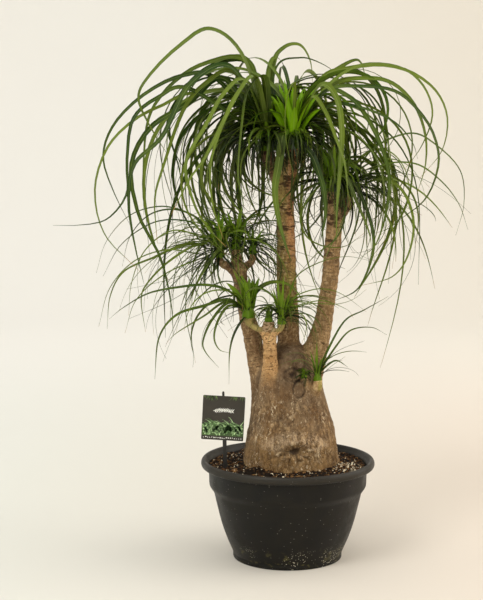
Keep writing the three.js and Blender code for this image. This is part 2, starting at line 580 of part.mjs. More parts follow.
function pointsOnBlade(stations) {
  const points = [];
  for (let k = 0; k + 1 < stations.length; k++) {
    const [from, to] = [stations[k], stations[k + 1]];
    const rows = Math.ceil(from.point.distanceTo(to.point) / SPREAD);
    for (let s = 0; s < rows; s++) {
      const half = mix(from.half, to.half, s / rows);
      const side = from.side.clone().lerp(to.side, s / rows);
      const middle = from.point.clone().lerp(to.point, s / rows);
      const columns = Math.max(1, Math.ceil((2 * half) / SPREAD));
      for (let i = 0; i <= columns; i++) {
        points.push(middle.clone().addScaledVector(side, half * ((2 * i) / columns - 1)));
      }
    }
  }
  return points;
}

// The bundle of leaf bases that a head's blades are rooted in, just clear of the stem's end
function coreStations({ seat: [x, y, z], core }) {
  const shape = [[0, 1.05], [1.4, 0.95], [2.9, 0.35]];
  return shape.map(([height, radius]) => [x, y, z + GAP + height * core, core * radius]);
}

// Of a number of attempts at a leaf, the one that keeps clear of the other heads and the trunk,
// and crosses the fewest of its own head's leaves outside the core
const ATTEMPTS = 24;

function placeLeaf(head, makeRoute) {
  const centre = new THREE.Vector3(...head.seat).add(new THREE.Vector3(0, 0, head.core));
  const isOutside = (point) => point.distanceTo(centre) > 2 * head.core;
  const isOwn = (other) => other.owner === head.name;
  const isOther = (other) => other.owner !== head.name && other.owner !== 'trunk';
  const isTrunk = (other) => other.owner === 'trunk';
  let best = null;
  let fewest = Infinity;
  for (let attempt = 0; attempt < ATTEMPTS && fewest > 0; attempt++) {
    const leaf = makeRoute(attempt);
    const points = pointsOnBlade(leaf);
    const outside = points.filter(isOutside);
    if (points.some((point) => point.z < LEAF_FLOOR || point.z > LEAF_CEILING)) continue;
    if (points.some((point) => isNear(point, isOther))) continue;
    if (outside.some((point) => isNear(point, isTrunk))) continue;
    const crossings = outside.filter((point) => isNear(point, isOwn)).length;
    if (crossings < fewest) {
      best = leaf;
      fewest = crossings;
    }
  }
  if (best) occupy(pointsOnBlade(best), head.name);
  return best;
}

function foliage() {
  occupy(pointsOnLimb(CAUDEX), 'trunk');
  for (const stations of Object.values(LIMBS)) occupy(pointsOnLimb(stations), 'trunk');
  for (const head of HEADS) occupy(pointsOnLimb(coreStations(head)), head.name);
  const leaves = new Map(HEADS.map((head) => [head, []]));
  for (const head of HEADS) {
    for (const points of LONG_LEAVES[head.name] ?? []) {
      leaves.get(head).push(placeLeaf(head, (attempt) => longLeafRoute(head, points, attempt)));
    }
  }
  HEADS.forEach((head, number) => {
    for (let leaf = 0; leaf < head.heart[0]; leaf++) {
      leaves.get(head).push(placeLeaf(head, (attempt) => heartRoute(head, number, leaf, attempt)));
    }
    for (let leaf = 0; leaf < head.count; leaf++) {
      leaves.get(head).push(placeLeaf(head, (attempt) => leafRoute(head, number, leaf, attempt)));
    }
  });
  return HEADS.map((head) => {
    const blades = leaves.get(head).filter(Boolean).map(blade);
    const core = limb(coreStations(head), TWIG_SIDES);
    const solid = blades.reduce((joined, piece) => joined.add(piece), core);
    return meshOf(head.name, solid, head.young ? COLOURS.youngLeaf : COLOURS.leaf, 0.45);
  });
}

const palm = new THREE.Group();
palm.add(pot(), soil(), trunk(), labelStake(), labelCard(), ...foliage());

export default palm;
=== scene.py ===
"""Looks of the potted ponytail palm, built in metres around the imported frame.

The plant's front faces -Y and +Z is up. Lengths written in millimetres are turned to metres by MM.
"""
import json

import bpy
import numpy as np
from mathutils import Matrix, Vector


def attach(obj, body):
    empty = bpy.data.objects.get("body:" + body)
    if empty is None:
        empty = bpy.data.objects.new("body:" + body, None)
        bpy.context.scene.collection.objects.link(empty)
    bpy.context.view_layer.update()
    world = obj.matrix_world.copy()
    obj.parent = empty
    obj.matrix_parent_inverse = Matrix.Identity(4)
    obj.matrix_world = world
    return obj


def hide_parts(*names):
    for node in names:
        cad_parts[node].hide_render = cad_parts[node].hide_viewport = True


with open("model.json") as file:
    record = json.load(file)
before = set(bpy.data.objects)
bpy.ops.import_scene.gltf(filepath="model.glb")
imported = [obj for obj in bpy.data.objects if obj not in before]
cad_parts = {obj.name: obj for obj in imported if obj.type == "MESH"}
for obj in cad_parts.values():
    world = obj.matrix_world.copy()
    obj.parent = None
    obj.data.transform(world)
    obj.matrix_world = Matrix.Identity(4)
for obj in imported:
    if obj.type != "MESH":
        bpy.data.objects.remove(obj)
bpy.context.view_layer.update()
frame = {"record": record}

MM = 0.001
GOLDEN_ANGLE = 137.508

# Camera of the photograph's viewing angle
CAMERA_PLACE = (0.0, -2.8, 0.83)
CAMERA_AIM = (-0.088, 0.0, 0.4925)
CAMERA_LENS = 89.9
CAMERA_SENSOR = 36.0

# Pot, millimetres: radius and height up the outside of the wall, and round the rolled lip
POT_WALL = 2.5
POT_FLOOR = 3.0
POT_OUTSIDE = [(103, 0), (104, 1.5), (104, 7), (103.6, 9.5), (104.6, 11.5), (115.4, 36.5), (126.3, 67),
               (136, 107), (140, 125), (141.5, 128.5), (147.5, 137), (149, 140.5), (149.6, 146), (150, 170)]
POT_LIP = [(150.6, 173), (153, 174.2), (160, 174.6), (163.6, 176.6), (165, 181), (164.4, 185.6),
           (162.4, 188.9), (160, 190), (157.4, 189.6), (155.2, 187.4), (153.6, 184), (149.6, 179.6)]
DRAIN_HOLES = 6
DRAIN_RADIUS = 7.0
DRAIN_CIRCLE = 75.0
SOIL_LEVEL = 178.0
SOIL_MOUND = 5.0

# Limbs of the trunk, millimetres: x, y, z and radius at each station
LIMBS = """
caudex: 6 0 108 34, 6 0 118 66, 6 0 138 85, 6 0 164 92, 6 0 190 90.5, 6.5 0 220 85.5, 5 0 262 75.5,
  1 0 305 67, -1 0 332 61.5, 2 3 366 46, 4 6 382 20
left_stem: -32 0 262 34, -50 0 340 20.5, -61 0 382 17, -67 0 425 17.5, -76 0 456 15.5, -84 0 498 14.3,
  -93 0 545 13, -98 8 573 9.5, -98 8 588 9
left_fork_outer: -93 0 542 8, -112 -3 555 8, -128 -4 565 7.5, -128 -4 573 7.5
left_fork_inner: -92 0 548 7, -76 0 559 6.5, -67 0 569 6.5, -67 0 580 6.5
front_stub: -22 -22 250 27, -35 -43 322 17.5, -35 -46 352 15, -33 -47 388 13, -36 -48 438 11.8,
  -36 -48 458 10
stub_twig_left: -37 -48 434 6, -54 -47 443 4.8, -72 -46 454 6, -74 -46 465 9.2
stub_twig_right: -34 -48 431 6, -23 -49 438 5, -13 -50 445 5, -12 -50 454 6.2
centre_stem: 6 8 290 40, 4 9 340 29, 2 10 388 22.5, -1 10 460 20.3, -4 10 560 18.4, -6 8 640 17,
  -10 8 690 18.5, -13 8 722 19, -14 8 740 14
crown_fork_left: -12 8 714 14, -26 12 738 14, -38 15 759 13.5, -38 15 772 13.5
crown_fork_centre: -8 6 714 14, 2 -1 738 14.5, 8 -5 760 14, 8 -5 776 14
right_stem: 16 2 280 44, 30 0 332 32, 46 0 382 25.5, 61 2 428 20, 71 3 480 16.4, 79 3 545 15.5,
  84.5 2 614 15.2, 86 0 644 14.4, 82 -7 680 11.8, 82 -7 697 11.5
right_fork_back: 86 1 640 10, 100 11 655 9.3, 111 17 672 9, 111 17 686 9
base_nub_front: 22 -30 334 10, 30 -51 344 6.5, 30 -51 351 6
base_nub_side: 42 -24 312 12, 55 -42 334 9, 55 -42 346 7.5
"""

# Leaf heads, millimetres and degrees. seat: end of the stem. core: radius of the bundle of leaf bases.
# count: ordinary leaves. length: their range of lengths. reach: how far out they come at most.
# width: their range of widths. low: rise of the oldest leaves. ends: climb at the tip, of leaves that
# hang and of leaves that curl. lean: towards which turn, and how far, the head leans. front: how long
# leaves towards the front are. neck: share of the length over which a leaf first climbs steeply.
# heart: number, length and width of the young upright leaves in the middle. fan: how far those lean
# out. fresh: how bright they are. shade: how many core radii the painted shade inside the head reaches.
# light: how much lighter all its leaves are: painted light on the lit heads towards the right, and the
# lighter green of the shoots. HEAD_USUAL holds what a head doesn't say itself.
HEAD_USUAL = dict(fresh=0.5, shade=8.0, light=0.0, fan=30)
HEADS = [
    dict(name="crown_centre", seat=(8, -5, 776), core=15, count=140, length=(260, 620), reach=290,
         width=(5.7, 13.5), low=18, ends=(-92, -200), lean=(350, 10), front=0.2, neck=0.2,
         heart=(26, 118, 16), fresh=1.0, shade=6.0, light=0.14, fan=38),
    dict(name="crown_left", seat=(-38, 15, 772), core=14.5, count=190, length=(230, 600), reach=310,
         width=(6, 13.5), low=18, ends=(-92, -210), lean=(170, 6), front=0.35, neck=0.28,
         heart=(7, 85, 14)),
    dict(name="crown_right_front", seat=(82, -7, 697), core=12.5, count=72, length=(140, 300), reach=230,
         width=(4.5, 9), low=0, ends=(-50, -190), lean=(330, 12), front=0.35, neck=0.15, heart=(10, 80, 11),
         light=0.2),
    dict(name="crown_right_back", seat=(111, 17, 686), core=10, count=84, length=(160, 400), reach=225,
         width=(3.5, 7.5), low=5, ends=(-20, -190), lean=(10, 18), front=0.45, neck=0.12, heart=(6, 60, 8),
         light=0.2),
    dict(name="crown_low_left_outer", seat=(-128, -4, 573), core=8.5, count=84, length=(120, 285),
         reach=230, width=(3, 6.5), low=-35, ends=(-5, -140), lean=(200, 20), front=0.8, neck=0.1,
         heart=(8, 75, 8)),
    dict(name="crown_low_left_middle", seat=(-98, 8, 588), core=10, count=90, length=(100, 250), reach=170,
         width=(3, 6.5), low=-20, ends=(0, -150), lean=(120, 8), front=0.8, neck=0.1, heart=(8, 75, 8)),
    dict(name="crown_low_left_inner", seat=(-67, 0, 580), core=7.5, count=40, length=(80, 160), reach=110,
         width=(3, 6), low=-20, ends=(0, -150), lean=(330, 15), front=0.8, neck=0.1, heart=(4, 50, 5)),
    dict(name="shoot_stub_left", seat=(-74, -46, 465), core=10.5, count=16, length=(90, 230), reach=190,
         width=(4, 11), low=-10, ends=(-20, -110), lean=(187, 30), front=0.8, neck=0.3, heart=(11, 84, 14),
         light=0.3),
    dict(name="shoot_stub_right", seat=(-12, -50, 454), core=7.5, count=56, length=(60, 150), reach=105,
         width=(2.5, 5.5), low=15, ends=(-10, -110), lean=(0, 12), front=0.9, neck=0.25, heart=(14, 82, 5),
         light=0.3),
    dict(name="shoot_stub_top", seat=(-36, -48, 458), core=7, count=20, length=(30, 75), reach=60,
         width=(2.5, 4), low=10, ends=(-10, -80), lean=(90, 0), front=0.9, neck=0.1, heart=(3, 25, 4)),
    dict(name="shoot_base_front", seat=(30, -51, 351), core=5.5, count=24, length=(20, 36), reach=30,
         width=(4, 6), low=0, ends=(-10, -110), lean=(265, 15), front=1, neck=0, heart=(3, 16, 5)),
    dict(name="shoot_base_side", seat=(55, -42, 346), core=7, count=16, length=(50, 130), reach=110,
         width=(2.5, 4.5), low=58, ends=(30, -50), lean=(355, 16), front=1, neck=0.4, heart=(6, 60, 4)),
]

# The conspicuous leaves of each head: width, then the points x y z that the leaf passes through
LONG_LEAVES = {
    "crown_left": """
13: -85 -10 945, -145 -20 995, -205 -30 960, -255 -40 910, -275 -45 870, -255 -50 820, -220 -60 765
12: -30 55 930, -10 65 965, 20 70 970, 40 80 940, 45 90 895
5: -25 40 925, 20 45 945, 60 55 935, 100 60 910
9.5: -135 5 905, -200 0 910, -270 -5 875, -325 -10 820, -345 -10 760, -325 -15 695, -295 -20 635
7: -165 -10 875, -235 -25 855, -290 -35 825, -335 -45 775, -355 -60 700, -335 -75 620, -270 -90 555
9: -180 -25 885, -240 -35 870, -285 -50 830, -295 -65 755, -295 -75 695, -330 -90 650, -380 -100 640,
  -425 -110 640
12.5: -105 -20 925, -180 -35 895, -230 -60 800, -280 -75 750, -290 -90 685, -280 -105 615, -260 -120 535
11.5: -120 -5 905, -185 -20 860, -255 -30 815, -290 -40 745, -275 -55 655, -235 -70 580, -215 -80 500,
  -210 -90 435
10: -100 -10 915, -155 -20 895, -195 -30 845, -230 -45 745, -245 -60 685, -240 -70 605
9.5: -72 25 922, -99 25 946, -145 25 938, -191 28 918, -235 30 880, -265 32 828, -275 35 735, -275 40 650
10: -62 30 905, -72 35 934, -95 40 948, -132 50 940, -165 60 915, -195 70 870, -215 80 800
12: -40 40 900, -36 50 932, -28 60 946, -15 75 940, -5 90 915, 5 100 880
12: -80 -30 900, -120 -45 875, -150 -65 820, -185 -90 755, -175 -110 695, -150 -130 645, -110 -150 605
10: -64 40 915, -86 45 941, -126 50 938, -169 58 917, -208 65 874, -232 75 820, -213 90 745, -200 100 675
13.5: -60 -50 905, -90 -70 880, -125 -105 810, -150 -135 760, -175 -155 725, -205 -190 665
16: -45 -40 905, -75 -60 880, -85 -90 810, -90 -125 730, -80 -150 680, -90 -170 635
12: -60 -35 905, -95 -55 875, -120 -75 820, -140 -105 750, -135 -135 680, -115 -160 620
""",
    "crown_centre": """
16: -10 -32 802, -14 -50 780, -19 -70 745, -25 -92 700, -15 -120 640, 5 -150 580
6: 10 -60 895, -5 -75 860, -5 -105 795, 10 -140 725
15: 55 -50 890, 85 -60 870, 95 -85 810, 90 -115 725, 85 -140 665, 85 -160 610
11: 40 -50 870, 65 -65 845, 85 -95 795, 100 -120 750, 105 -150 690
13: 28 -28 780, 44 -45 762, 56 -60 730, 64 -80 700, 66 -98 655, 56 -120 610
14: 45 25 885, 85 35 920, 120 45 940, 135 50 935, 145 60 905
9: 60 5 905, 115 5 925, 175 10 930, 230 15 915, 275 20 880, 295 20 830, 285 25 770, 245 30 720
8: 65 -20 885, 120 -25 925, 175 -30 930, 220 -35 915, 250 -45 880, 260 -50 835, 240 -55 780, 210 -60 740
12: 75 -15 890, 140 -20 905, 190 -25 895, 230 -30 855, 250 -30 800, 250 -35 745, 235 -40 695
10: 65 -25 880, 130 -35 890, 195 -45 880, 240 -50 840, 265 -60 795, 270 -70 745, 245 -80 685, 185 -90 640
11: 65 -40 880, 110 -50 870, 140 -65 835, 165 -85 785, 180 -100 730, 175 -120 670, 155 -140 610,
  125 -150 585
9: 75 -40 855, 135 -60 850, 190 -80 825, 220 -100 790, 230 -110 760
""",
    "crown_right_front": """
4: 98 -25 702, 103 -40 650, 86 -55 612, 50 -62 584, 14 -66 543
4.5: 62 -30 712, 39 -50 690, 23 -50 660, 24 -50 636, 38 -52 612, 70 -55 598, 106 -55 600, 140 -58 625
3.5: 66 -28 722, 44 -45 702, 26 -58 650, 18 -66 600
8: 115 -20 720, 140 -35 675, 155 -60 620, 150 -80 575, 125 -100 525, 80 -120 505
8: 105 -30 725, 125 -55 680, 145 -85 630, 150 -100 600
""",
    "crown_right_back": """
4: 155 0 775, 225 -15 805, 275 -25 780, 315 -35 735, 320 -50 675, 305 -60 620
5: 170 -20 745, 230 -50 750, 275 -75 720, 305 -100 680, 320 -120 635
6: 170 0 720, 210 -15 700, 230 -35 645, 220 -55 585, 190 -70 545, 130 -90 530
""",
    "crown_low_left_outer": """
3.5: -165 -10 625, -190 -10 642, -250 -20 640, -310 -30 600, -345 -35 540
3.5: -160 0 630, -185 0 655, -240 10 668, -300 15 650, -345 20 600, -365 25 540
3: -165 -15 580, -225 -35 590, -285 -50 570, -330 -60 520, -350 -65 450
3.5: -160 -12 610, -215 -25 625, -265 -40 590, -290 -50 530, -295 -60 470
4: -155 8 620, -170 12 645, -215 20 662, -265 30 650, -302 40 608, -318 45 550
3: -165 -22 572, -230 -50 545, -280 -70 500, -300 -80 440
5: -185 -15 600, -250 -25 575, -305 -40 550, -330 -50 505, -335 -60 445
5: -165 -20 600, -220 -40 570, -260 -65 530, -270 -75 500, -260 -100 445
""",
    "crown_low_left_middle": """
8: -120 -25 600, -155 -45 555, -175 -55 515, -185 -70 485
""",
    "shoot_stub_left": """
6: -110 -50 515, -150 -65 528, -200 -75 525, -255 -90 515, -300 -100 490, -325 -110 470
6: -110 -55 500, -155 -70 490, -205 -90 475, -235 -110 435, -240 -140 365
5: -115 -50 495, -155 -60 470, -205 -75 440, -225 -80 420
6: -110 -60 495, -140 -80 465, -155 -100 430, -150 -110 410, -125 -130 385
6: -108 -68 490, -128 -82 465, -135 -95 435, -125 -110 415, -105 -120 410
""",
    "shoot_stub_right": """
3.6: 0 -52 505, 18 -55 546, 63 -60 572, 107 -65 581, 145 -70 575
3: 3 -53 494, 20 -55 510, 59 -60 521, 98 -65 512, 143 -70 480
2.6: 4 -54 482, 22 -57 491, 64 -62 499, 107 -66 484, 120 -68 468
2.6: 5 -55 480, 40 -58 493, 89 -62 493, 120 -65 503, 143 -66 521
""",
    "shoot_base_side": """
5: 76 -48 410, 105 -45 460, 140 -45 480, 185 -40 505
4: 85 -38 405, 115 -35 440, 155 -25 445, 185 -20 430
5: 74 -52 378, 90 -75 390, 110 -90 380
""",
}

# Leaves
FINE_STEPS = 72
LEAF_STATIONS = 30
LEAF_THICKNESS = 0.7
LEAF_CHANNEL = 0.34
LEAF_GATHER = 28.0
LEAF_DEPTH = 215.0
STRAIGHT_EFFORT = 2.4
ARCHING_SEED, HEART_SEED, BLADE_SEED = 40, 80, 120

# Conspicuous, ordinary and young leaves: ranges of roll and twist in degrees, taper and youth
LONG_ROLL, ROLL, YOUNG_ROLL = (50, 80), (-50, 50), 60
LONG_TWIST, TWIST, YOUNG_TWIST = (-25, 25), (-80, 80), (-15, 15)
TAPER, YOUNG_TAPER = 1.9, 3.6
LONG_YOUTH, YOUTH, YOUNG_YOUTH = 0.12, 0.6, (0.85, 1)

# The bundle of leaf bases: radius and height in core radii, and what its finish goes by
BULB = [(0, 0), (1.02, 0), (1.1, 0.35), (1.02, 1), (0.8, 1.7), (0.45, 2.4), (0, 2.8)]
BULB_SEGMENTS = 24
BULB_ALONG, BULB_TONE, BULB_YOUTH, BULB_BREADTH = 0.06, 0.4, 0.45, 8.0

# Ring round a blade: place across (1 is the right edge) and side (1 the upper face, -1 the lower one)
BLADE_ACROSS = np.array([1, 0.5, 0, -0.5, -1, -0.5, 0, 0.5])
BLADE_SIDE = np.array([0, 1, 1, 1, 0, -1, -1, -1])


def table_rows(text):
    """The label and the points of each row of a table. A row that ends in a comma goes on below."""
    for row in text.strip().replace(",\n", ",").splitlines():
        label, points = row.split(":")
        yield label.strip(), np.array([point.split() for point in points.split(",")], float)


def mix(low, high, share):
    """The value that lies a share of the way from low to high."""
    return low + (high - low) * share


def unit(vectors):
    """Vectors along the last axis, each divided by its length."""
    return vectors / np.maximum(np.linalg.norm(vectors, axis=-1, keepdims=True), 1e-12)


def smooth_step(low, high, value):
    """0 below low, 1 above high and 3t^2 - 2t^3 between them."""
    share = np.clip((value - low) / (high - low), 0, 1)
    return share * share * (3 - 2 * share)


def hump(value, width):
    """exp(-(value / width)^2): 1 at 0, falling off to both sides."""
    return np.exp(-(value / width) ** 2)


def lattice_draw(cells, seed):
    """A fixed value from -1 to 1 for each lattice corner: the fraction of a large sine."""
    value = np.sin(cells @ np.array([127.1, 311.7, 74.7]) + seed * 19.19) * 43758.5453
    return 2 * (value - np.floor(value)) - 1


def noise(points, size, seed=0):
    """Smooth noise from -1 to 1: corner values of a lattice of cells of that size, blended by
    3t^2 - 2t^3."""
    place = points / np.asarray(size, float)
    cell = np.floor(place)
    share = smooth_step(0, 1, place - cell)
    total = np.zeros(len(points))
    for corner in np.ndindex(2, 2, 2):
        weight = np.prod(np.where(np.array(corner) == 1, share, 1 - share), axis=1)
        total += weight * lattice_draw(cell + corner, seed)
    return total


def new_piece(name, points, face_blocks, material=None, across=None, values=None, sharp=None):
    """An object from points in millimetres, blocks of faces of 3 or 4 corners, a UV pair for each
    point and named values for each point. It rides on the root body. Edges sharper than sharp
    degrees stay hard."""
    sizes = np.concatenate([np.full(len(block), block.shape[1]) for block in face_blocks])
    corners = np.concatenate([np.asarray(block).ravel() for block in face_blocks])
    mesh = bpy.data.meshes.new(name)
    mesh.vertices.add(len(points))
    mesh.vertices.foreach_set("co", (np.asarray(points, float) * MM).ravel())
    mesh.loops.add(len(corners))
    mesh.loops.foreach_set("vertex_index", corners.astype(np.int32))
    mesh.polygons.add(len(sizes))
    mesh.polygons.foreach_set("loop_start", (np.cumsum(sizes) - sizes).astype(np.int32))
    mesh.update(calc_edges=True)
    mesh.shade_smooth()
    if sharp is not None:
        mesh.set_sharp_from_angle(angle=np.radians(sharp))
    if across is not None:
        layer = mesh.uv_layers.new(name="UVMap")
        layer.data.foreach_set("uv", across[corners].astype(np.float32).ravel())
    for key, value in (values or {}).items():
        mesh.attributes.new(key, "FLOAT", "POINT").data.foreach_set("value", value.astype(np.float32))
    piece = placed_object(name, mesh)
    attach(piece, "root")
    if material:
        mesh.materials.append(material)
    return piece


def placed_object(name, data):
    """A new object of the scene."""
    thing = bpy.data.objects.new(name, data)
    bpy.context.scene.collection.objects.link(thing)
    return thing


def ring_faces(rows, columns):
    """Quads between neighbouring rings of a grid of points, row by row, closed round each ring."""
    row, column = np.meshgrid(np.arange(rows - 1), np.arange(columns), indexing="ij")
    here = row * columns + column
    beside = row * columns + (column + 1) % columns
    return np.stack([here, beside, beside + columns, here + columns], axis=-1).reshape(-1, 4)


def end_caps(rows, columns):
    """Triangles that close the first and the last ring of a grid, as fans over each ring."""
    fan = np.arange(1, columns - 1)
    first = np.stack([np.zeros_like(fan), fan + 1, fan], axis=1)
    last = np.stack([np.zeros_like(fan), fan, fan + 1], axis=1) + (rows - 1) * columns
    return np.concatenate([first, last])


def repeated(faces, count, step):
    """The same faces for each of a number of equal bodies, whose points follow each other."""
    return (faces[None] + step * np.arange(count)[:, None, None]).reshape(-1, faces.shape[1])


def closed_tubes(rows, columns, count):
    """The walls and the end caps of a number of equal tubes."""
    return [repeated(faces(rows, columns), count, rows * columns) for faces in (ring_faces, end_caps)]


def line_of(climb, bearing):
    """Points after steps of equal length, 1 in all, that climb and bear at those angles in radians."""
    level = np.cos(climb)
    steps = [level * np.cos(bearing), level * np.sin(bearing), np.sin(climb)]
    steps = np.stack(np.broadcast_arrays(*steps), axis=-1)
    return np.concatenate([np.zeros((len(climb), 1, 3)), np.cumsum(steps, axis=1) / FINE_STEPS], axis=1)


def arching_routes(head, number):
    """Middle lines of a head's ordinary leaves, from its oldest to its youngest.

    A leaf leaves the bundle at its rise and bends over to the climb of its end. At a share s of its
    length it climbs at rise + (end - rise) * (1 - (1 - s)^q)^stiffness, where q falls from 2.2 for a
    leaf that hangs to 1.05 for one that curls all along. Over the first share of its length, the
    neck, it is steeper. Its bearing swings by sway * s^2. Successive leaves are a golden angle
    apart, and drawn together by LEAF_GATHER degrees towards the head's lean. Leaves towards the
    front leave the head lower down and are shorter.
    """
    draw = np.random.default_rng(ARCHING_SEED + number).uniform
    count = head["count"]
    age = (np.arange(count) + 0.5) / count
    turn = np.arange(count) * GOLDEN_ANGLE + draw(-14, 14, count)
    turn = turn - LEAF_GATHER * np.sin(np.radians(turn - head["lean"][0]))
    lean = head["lean"][1] * np.cos(np.radians(turn - head["lean"][0]))
    front = smooth_step(0.0, 0.5, -np.sin(np.radians(turn)))
    rise = mix(84, head["low"], age**1.2) + draw(-8, 8, count) - lean
    rise = mix(rise, np.minimum(rise, 5 + 60 * head["front"]), front)
    curl = draw(0, 1, count)
    end = mix(*head["ends"], curl) * mix(0.5, 1, np.clip(age / 0.2, 0, 1))
    stiffness = (mix(1.6, 1.0, age) + draw(-0.2, 0.4, count))[:, None]
    sway = draw(-110, 110, count)
    share = (np.arange(FINE_STEPS) + 0.5) / FINE_STEPS
    bent = (1 - (1 - share) ** mix(2.2, 1.05, curl)[:, None]) ** stiffness
    climb = mix(rise[:, None], end[:, None], bent)
    steep = (1 - smooth_step(0, head["neck"] * mix(1.2, 0.5, age)[:, None], share)) * (1 - front[:, None])
    climb = np.radians(mix(climb, np.maximum(climb, 80), steep))
    routes = line_of(climb, np.radians(turn[:, None] + sway[:, None] * share**2))
    fullness = mix(0.25, 1, np.clip(age / 0.3, 0, 1)) * mix(1, head["front"], front)
    widest = np.linalg.norm(routes[:, :, :2], axis=2).max(axis=1)
    deepest = np.maximum(np.abs(routes[:, :, 1]).max(axis=1), 0.01)
    length = np.minimum(draw(*head["length"], count) * fullness, head["reach"] / widest)
    length = np.minimum(length, LEAF_DEPTH / deepest)
    width = mix(*head["width"], draw(0, 1, count) ** 1.7) * mix(0.75, 1, fullness) * mix(1, 0.65, front)
    turn = np.radians(turn)
    return routes * length[:, None, None] + bundle_roots(head, turn, age)[:, None], width, turn, age


def bundle_roots(head, turn, age):
    """Where leaves leave the bundle: the oldest low and far out, the youngest at the top."""
    out = head["core"] * mix(0.1, 0.6, age)
    height = head["core"] * mix(2.6, 0.4, age)
    return np.array(head["seat"]) + np.stack([out * np.cos(turn), out * np.sin(turn), height], axis=-1)


def heart_routes(head, number):
    """Middle lines of the young upright leaves: straight, fanned by up to the head's fan from its own
    direction, the middle ones longest, with tips that curve out a little."""
    count, length, width = head["heart"]
    draw = np.random.default_rng(HEART_SEED + number).uniform
    turn = np.radians(np.arange(count) * GOLDEN_ANGLE + draw(0, 360))
    spread = ((np.arange(count) + 0.5) / count) ** 0.6
    lean = np.radians(head["lean"][1]) / 2 * np.cos(turn - np.radians(head["lean"][0]))
    tilt = np.radians(mix(2, head["fan"], spread)) + lean
    share = (np.arange(FINE_STEPS) + 0.5) / FINE_STEPS
    routes = line_of(np.pi / 2 - tilt[:, None] * (0.6 + 1.1 * share**2), turn[:, None])
    size = length * draw(0.8, 1.1, count) * mix(1, 0.75, spread)
    roots = bundle_roots(head, turn, mix(0.5, 0.9, spread))
    return routes * size[:, None, None] + roots[:, None], width * draw(0.8, 1.1, count), turn


def curve_through(points, steps):
    """A smooth line through points, at even distances: uniform Catmull-Rom spans, whose end spans
    use a point reflected beyond the end."""
    points = np.asarray(points, float)
    known = np.concatenate([[2 * points[0] - points[1]], points, [2 * points[-1] - points[-2]]])
    before, start, stop, after = (known[k:len(known) - 3 + k, None] for k in range(4))
    t = np.linspace(0, 1, 25)[:-1][:, None]
    spans = 0.5 * (2 * start + (stop - before) * t + (2 * before - 5 * start + 4 * stop - after) * t**2
                   + (3 * start - before - 3 * stop + after) * t**3)
    line = np.concatenate([spans.reshape(-1, points.shape[1]), points[-1:]])
    way = np.concatenate([[0], np.cumsum(np.linalg.norm(np.diff(line[:, :3], axis=0), axis=1))])
    even = np.linspace(0, way[-1], steps + 1)
    return np.stack([np.interp(even, way, column) for column in line.T], axis=1)


def long_routes(head):
    """Middle lines of the conspicuous leaves: from the bundle, smoothly through the given points."""
    routes, widths, turns = [], [], []
    for width, points in table_rows(LONG_LEAVES.get(head["name"], "")):
        x, y, z = points[0] - head["seat"]
        turns.append(np.arctan2(y, x))
        rise = np.degrees(np.arctan2(z, np.hypot(x, y)))
        root = bundle_roots(head, np.array(turns[-1]), np.array(1 - max(rise, 0) / 90))
        routes.append(curve_through([root, *points], FINE_STEPS))
        widths.append(float(width))
    return np.array(routes).reshape(-1, FINE_STEPS + 1, 3), np.array(widths), np.array(turns)


def closer_at_bends(routes, stations):
    """Each route again with fewer points, spread evenly by the angle it turns through, with
    STRAIGHT_EFFORT radians more over its whole length. Also the share of the length at each."""
    ahead = unit(np.diff(routes, axis=1))
    bend = np.arccos(np.clip((ahead[:, 1:] * ahead[:, :-1]).sum(axis=2), -1, 1))
    effort = np.concatenate([np.zeros((len(routes), 1)), bend, bend[:, -1:]], axis=1)
    effort = np.cumsum(effort + STRAIGHT_EFFORT / FINE_STEPS, axis=1)
    effort = (effort - effort[:, :1]) / (effort[:, -1:] - effort[:, :1])
    even, fine = np.linspace(0, 1, stations), np.linspace(0, 1, routes.shape[1])
    share = np.array([np.interp(even, row, fine) for row in effort])
    place = share * (routes.shape[1] - 1)
    below = np.minimum(place.astype(int), routes.shape[1] - 2)
    leaf = np.arange(len(routes))[:, None]
    return mix(routes[leaf, below], routes[leaf, below + 1], (place - below)[..., None]), share


def frames_along(routes, across):
    """Side and up directions at each point of each route. The side direction is carried along with
    as little turning as possible, starting from across."""
    forward = unit(np.gradient(routes, axis=1))
    side = np.empty_like(forward)
    for k in range(routes.shape[1]):
        ahead = forward[:, k]
        across = unit(across - ahead * (across * ahead).sum(axis=1, keepdims=True))
        side[:, k] = across
    return side, np.cross(forward, side)


def blades(routes, width, turn, roll, twist, taper):
    """Points of closed leaf blades along their routes, and for each point its place across and its
    share of the length.

    Half the width at a share s is width / 2 * (0.6 + 0.4 * step(s / 0.14)) * (1 - s^taper)^0.9. The
    edges are raised by LEAF_CHANNEL * (1 - 0.6 s) of it, and the blade is thickest along its middle.
    The section rolls about the route by roll soon after the root and by twist * s^1.4 in all.
    """
    route, share = closer_at_bends(routes, LEAF_STATIONS)
    side, up = frames_along(route, np.stack([-np.sin(turn), np.cos(turn), 0 * turn], axis=-1))
    roll = (roll[:, None] * smooth_step(0, 0.2, share) + twist[:, None] * share**1.4)[..., None]
    side, up = side * np.cos(roll) + up * np.sin(roll), up * np.cos(roll) - side * np.sin(roll)
    full = (1 - 0.9999 * share ** taper[:, None]) ** 0.9
    half = np.maximum(width[:, None] / 2 * mix(0.6, 1, smooth_step(0, 0.14, share)) * full, 0.25)
    lift = (LEAF_CHANNEL * (1 - 0.6 * share) * half)[..., None] * (np.abs(BLADE_ACROSS) ** 1.3 - 0.35)
    thick = LEAF_THICKNESS / 2 * mix(1.3, 0.6, share)[..., None]
    lift = lift + thick * (1 - 0.45 * BLADE_ACROSS**2) * BLADE_SIDE
    sideways = half[..., None] * BLADE_ACROSS
    points = route[:, :, None] + side[:, :, None] * sideways[..., None] + up[:, :, None] * lift[..., None]
    across, along = np.broadcast_arrays(BLADE_ACROSS, share[..., None])
    return points.reshape(-1, 3), across.ravel(), along.ravel()


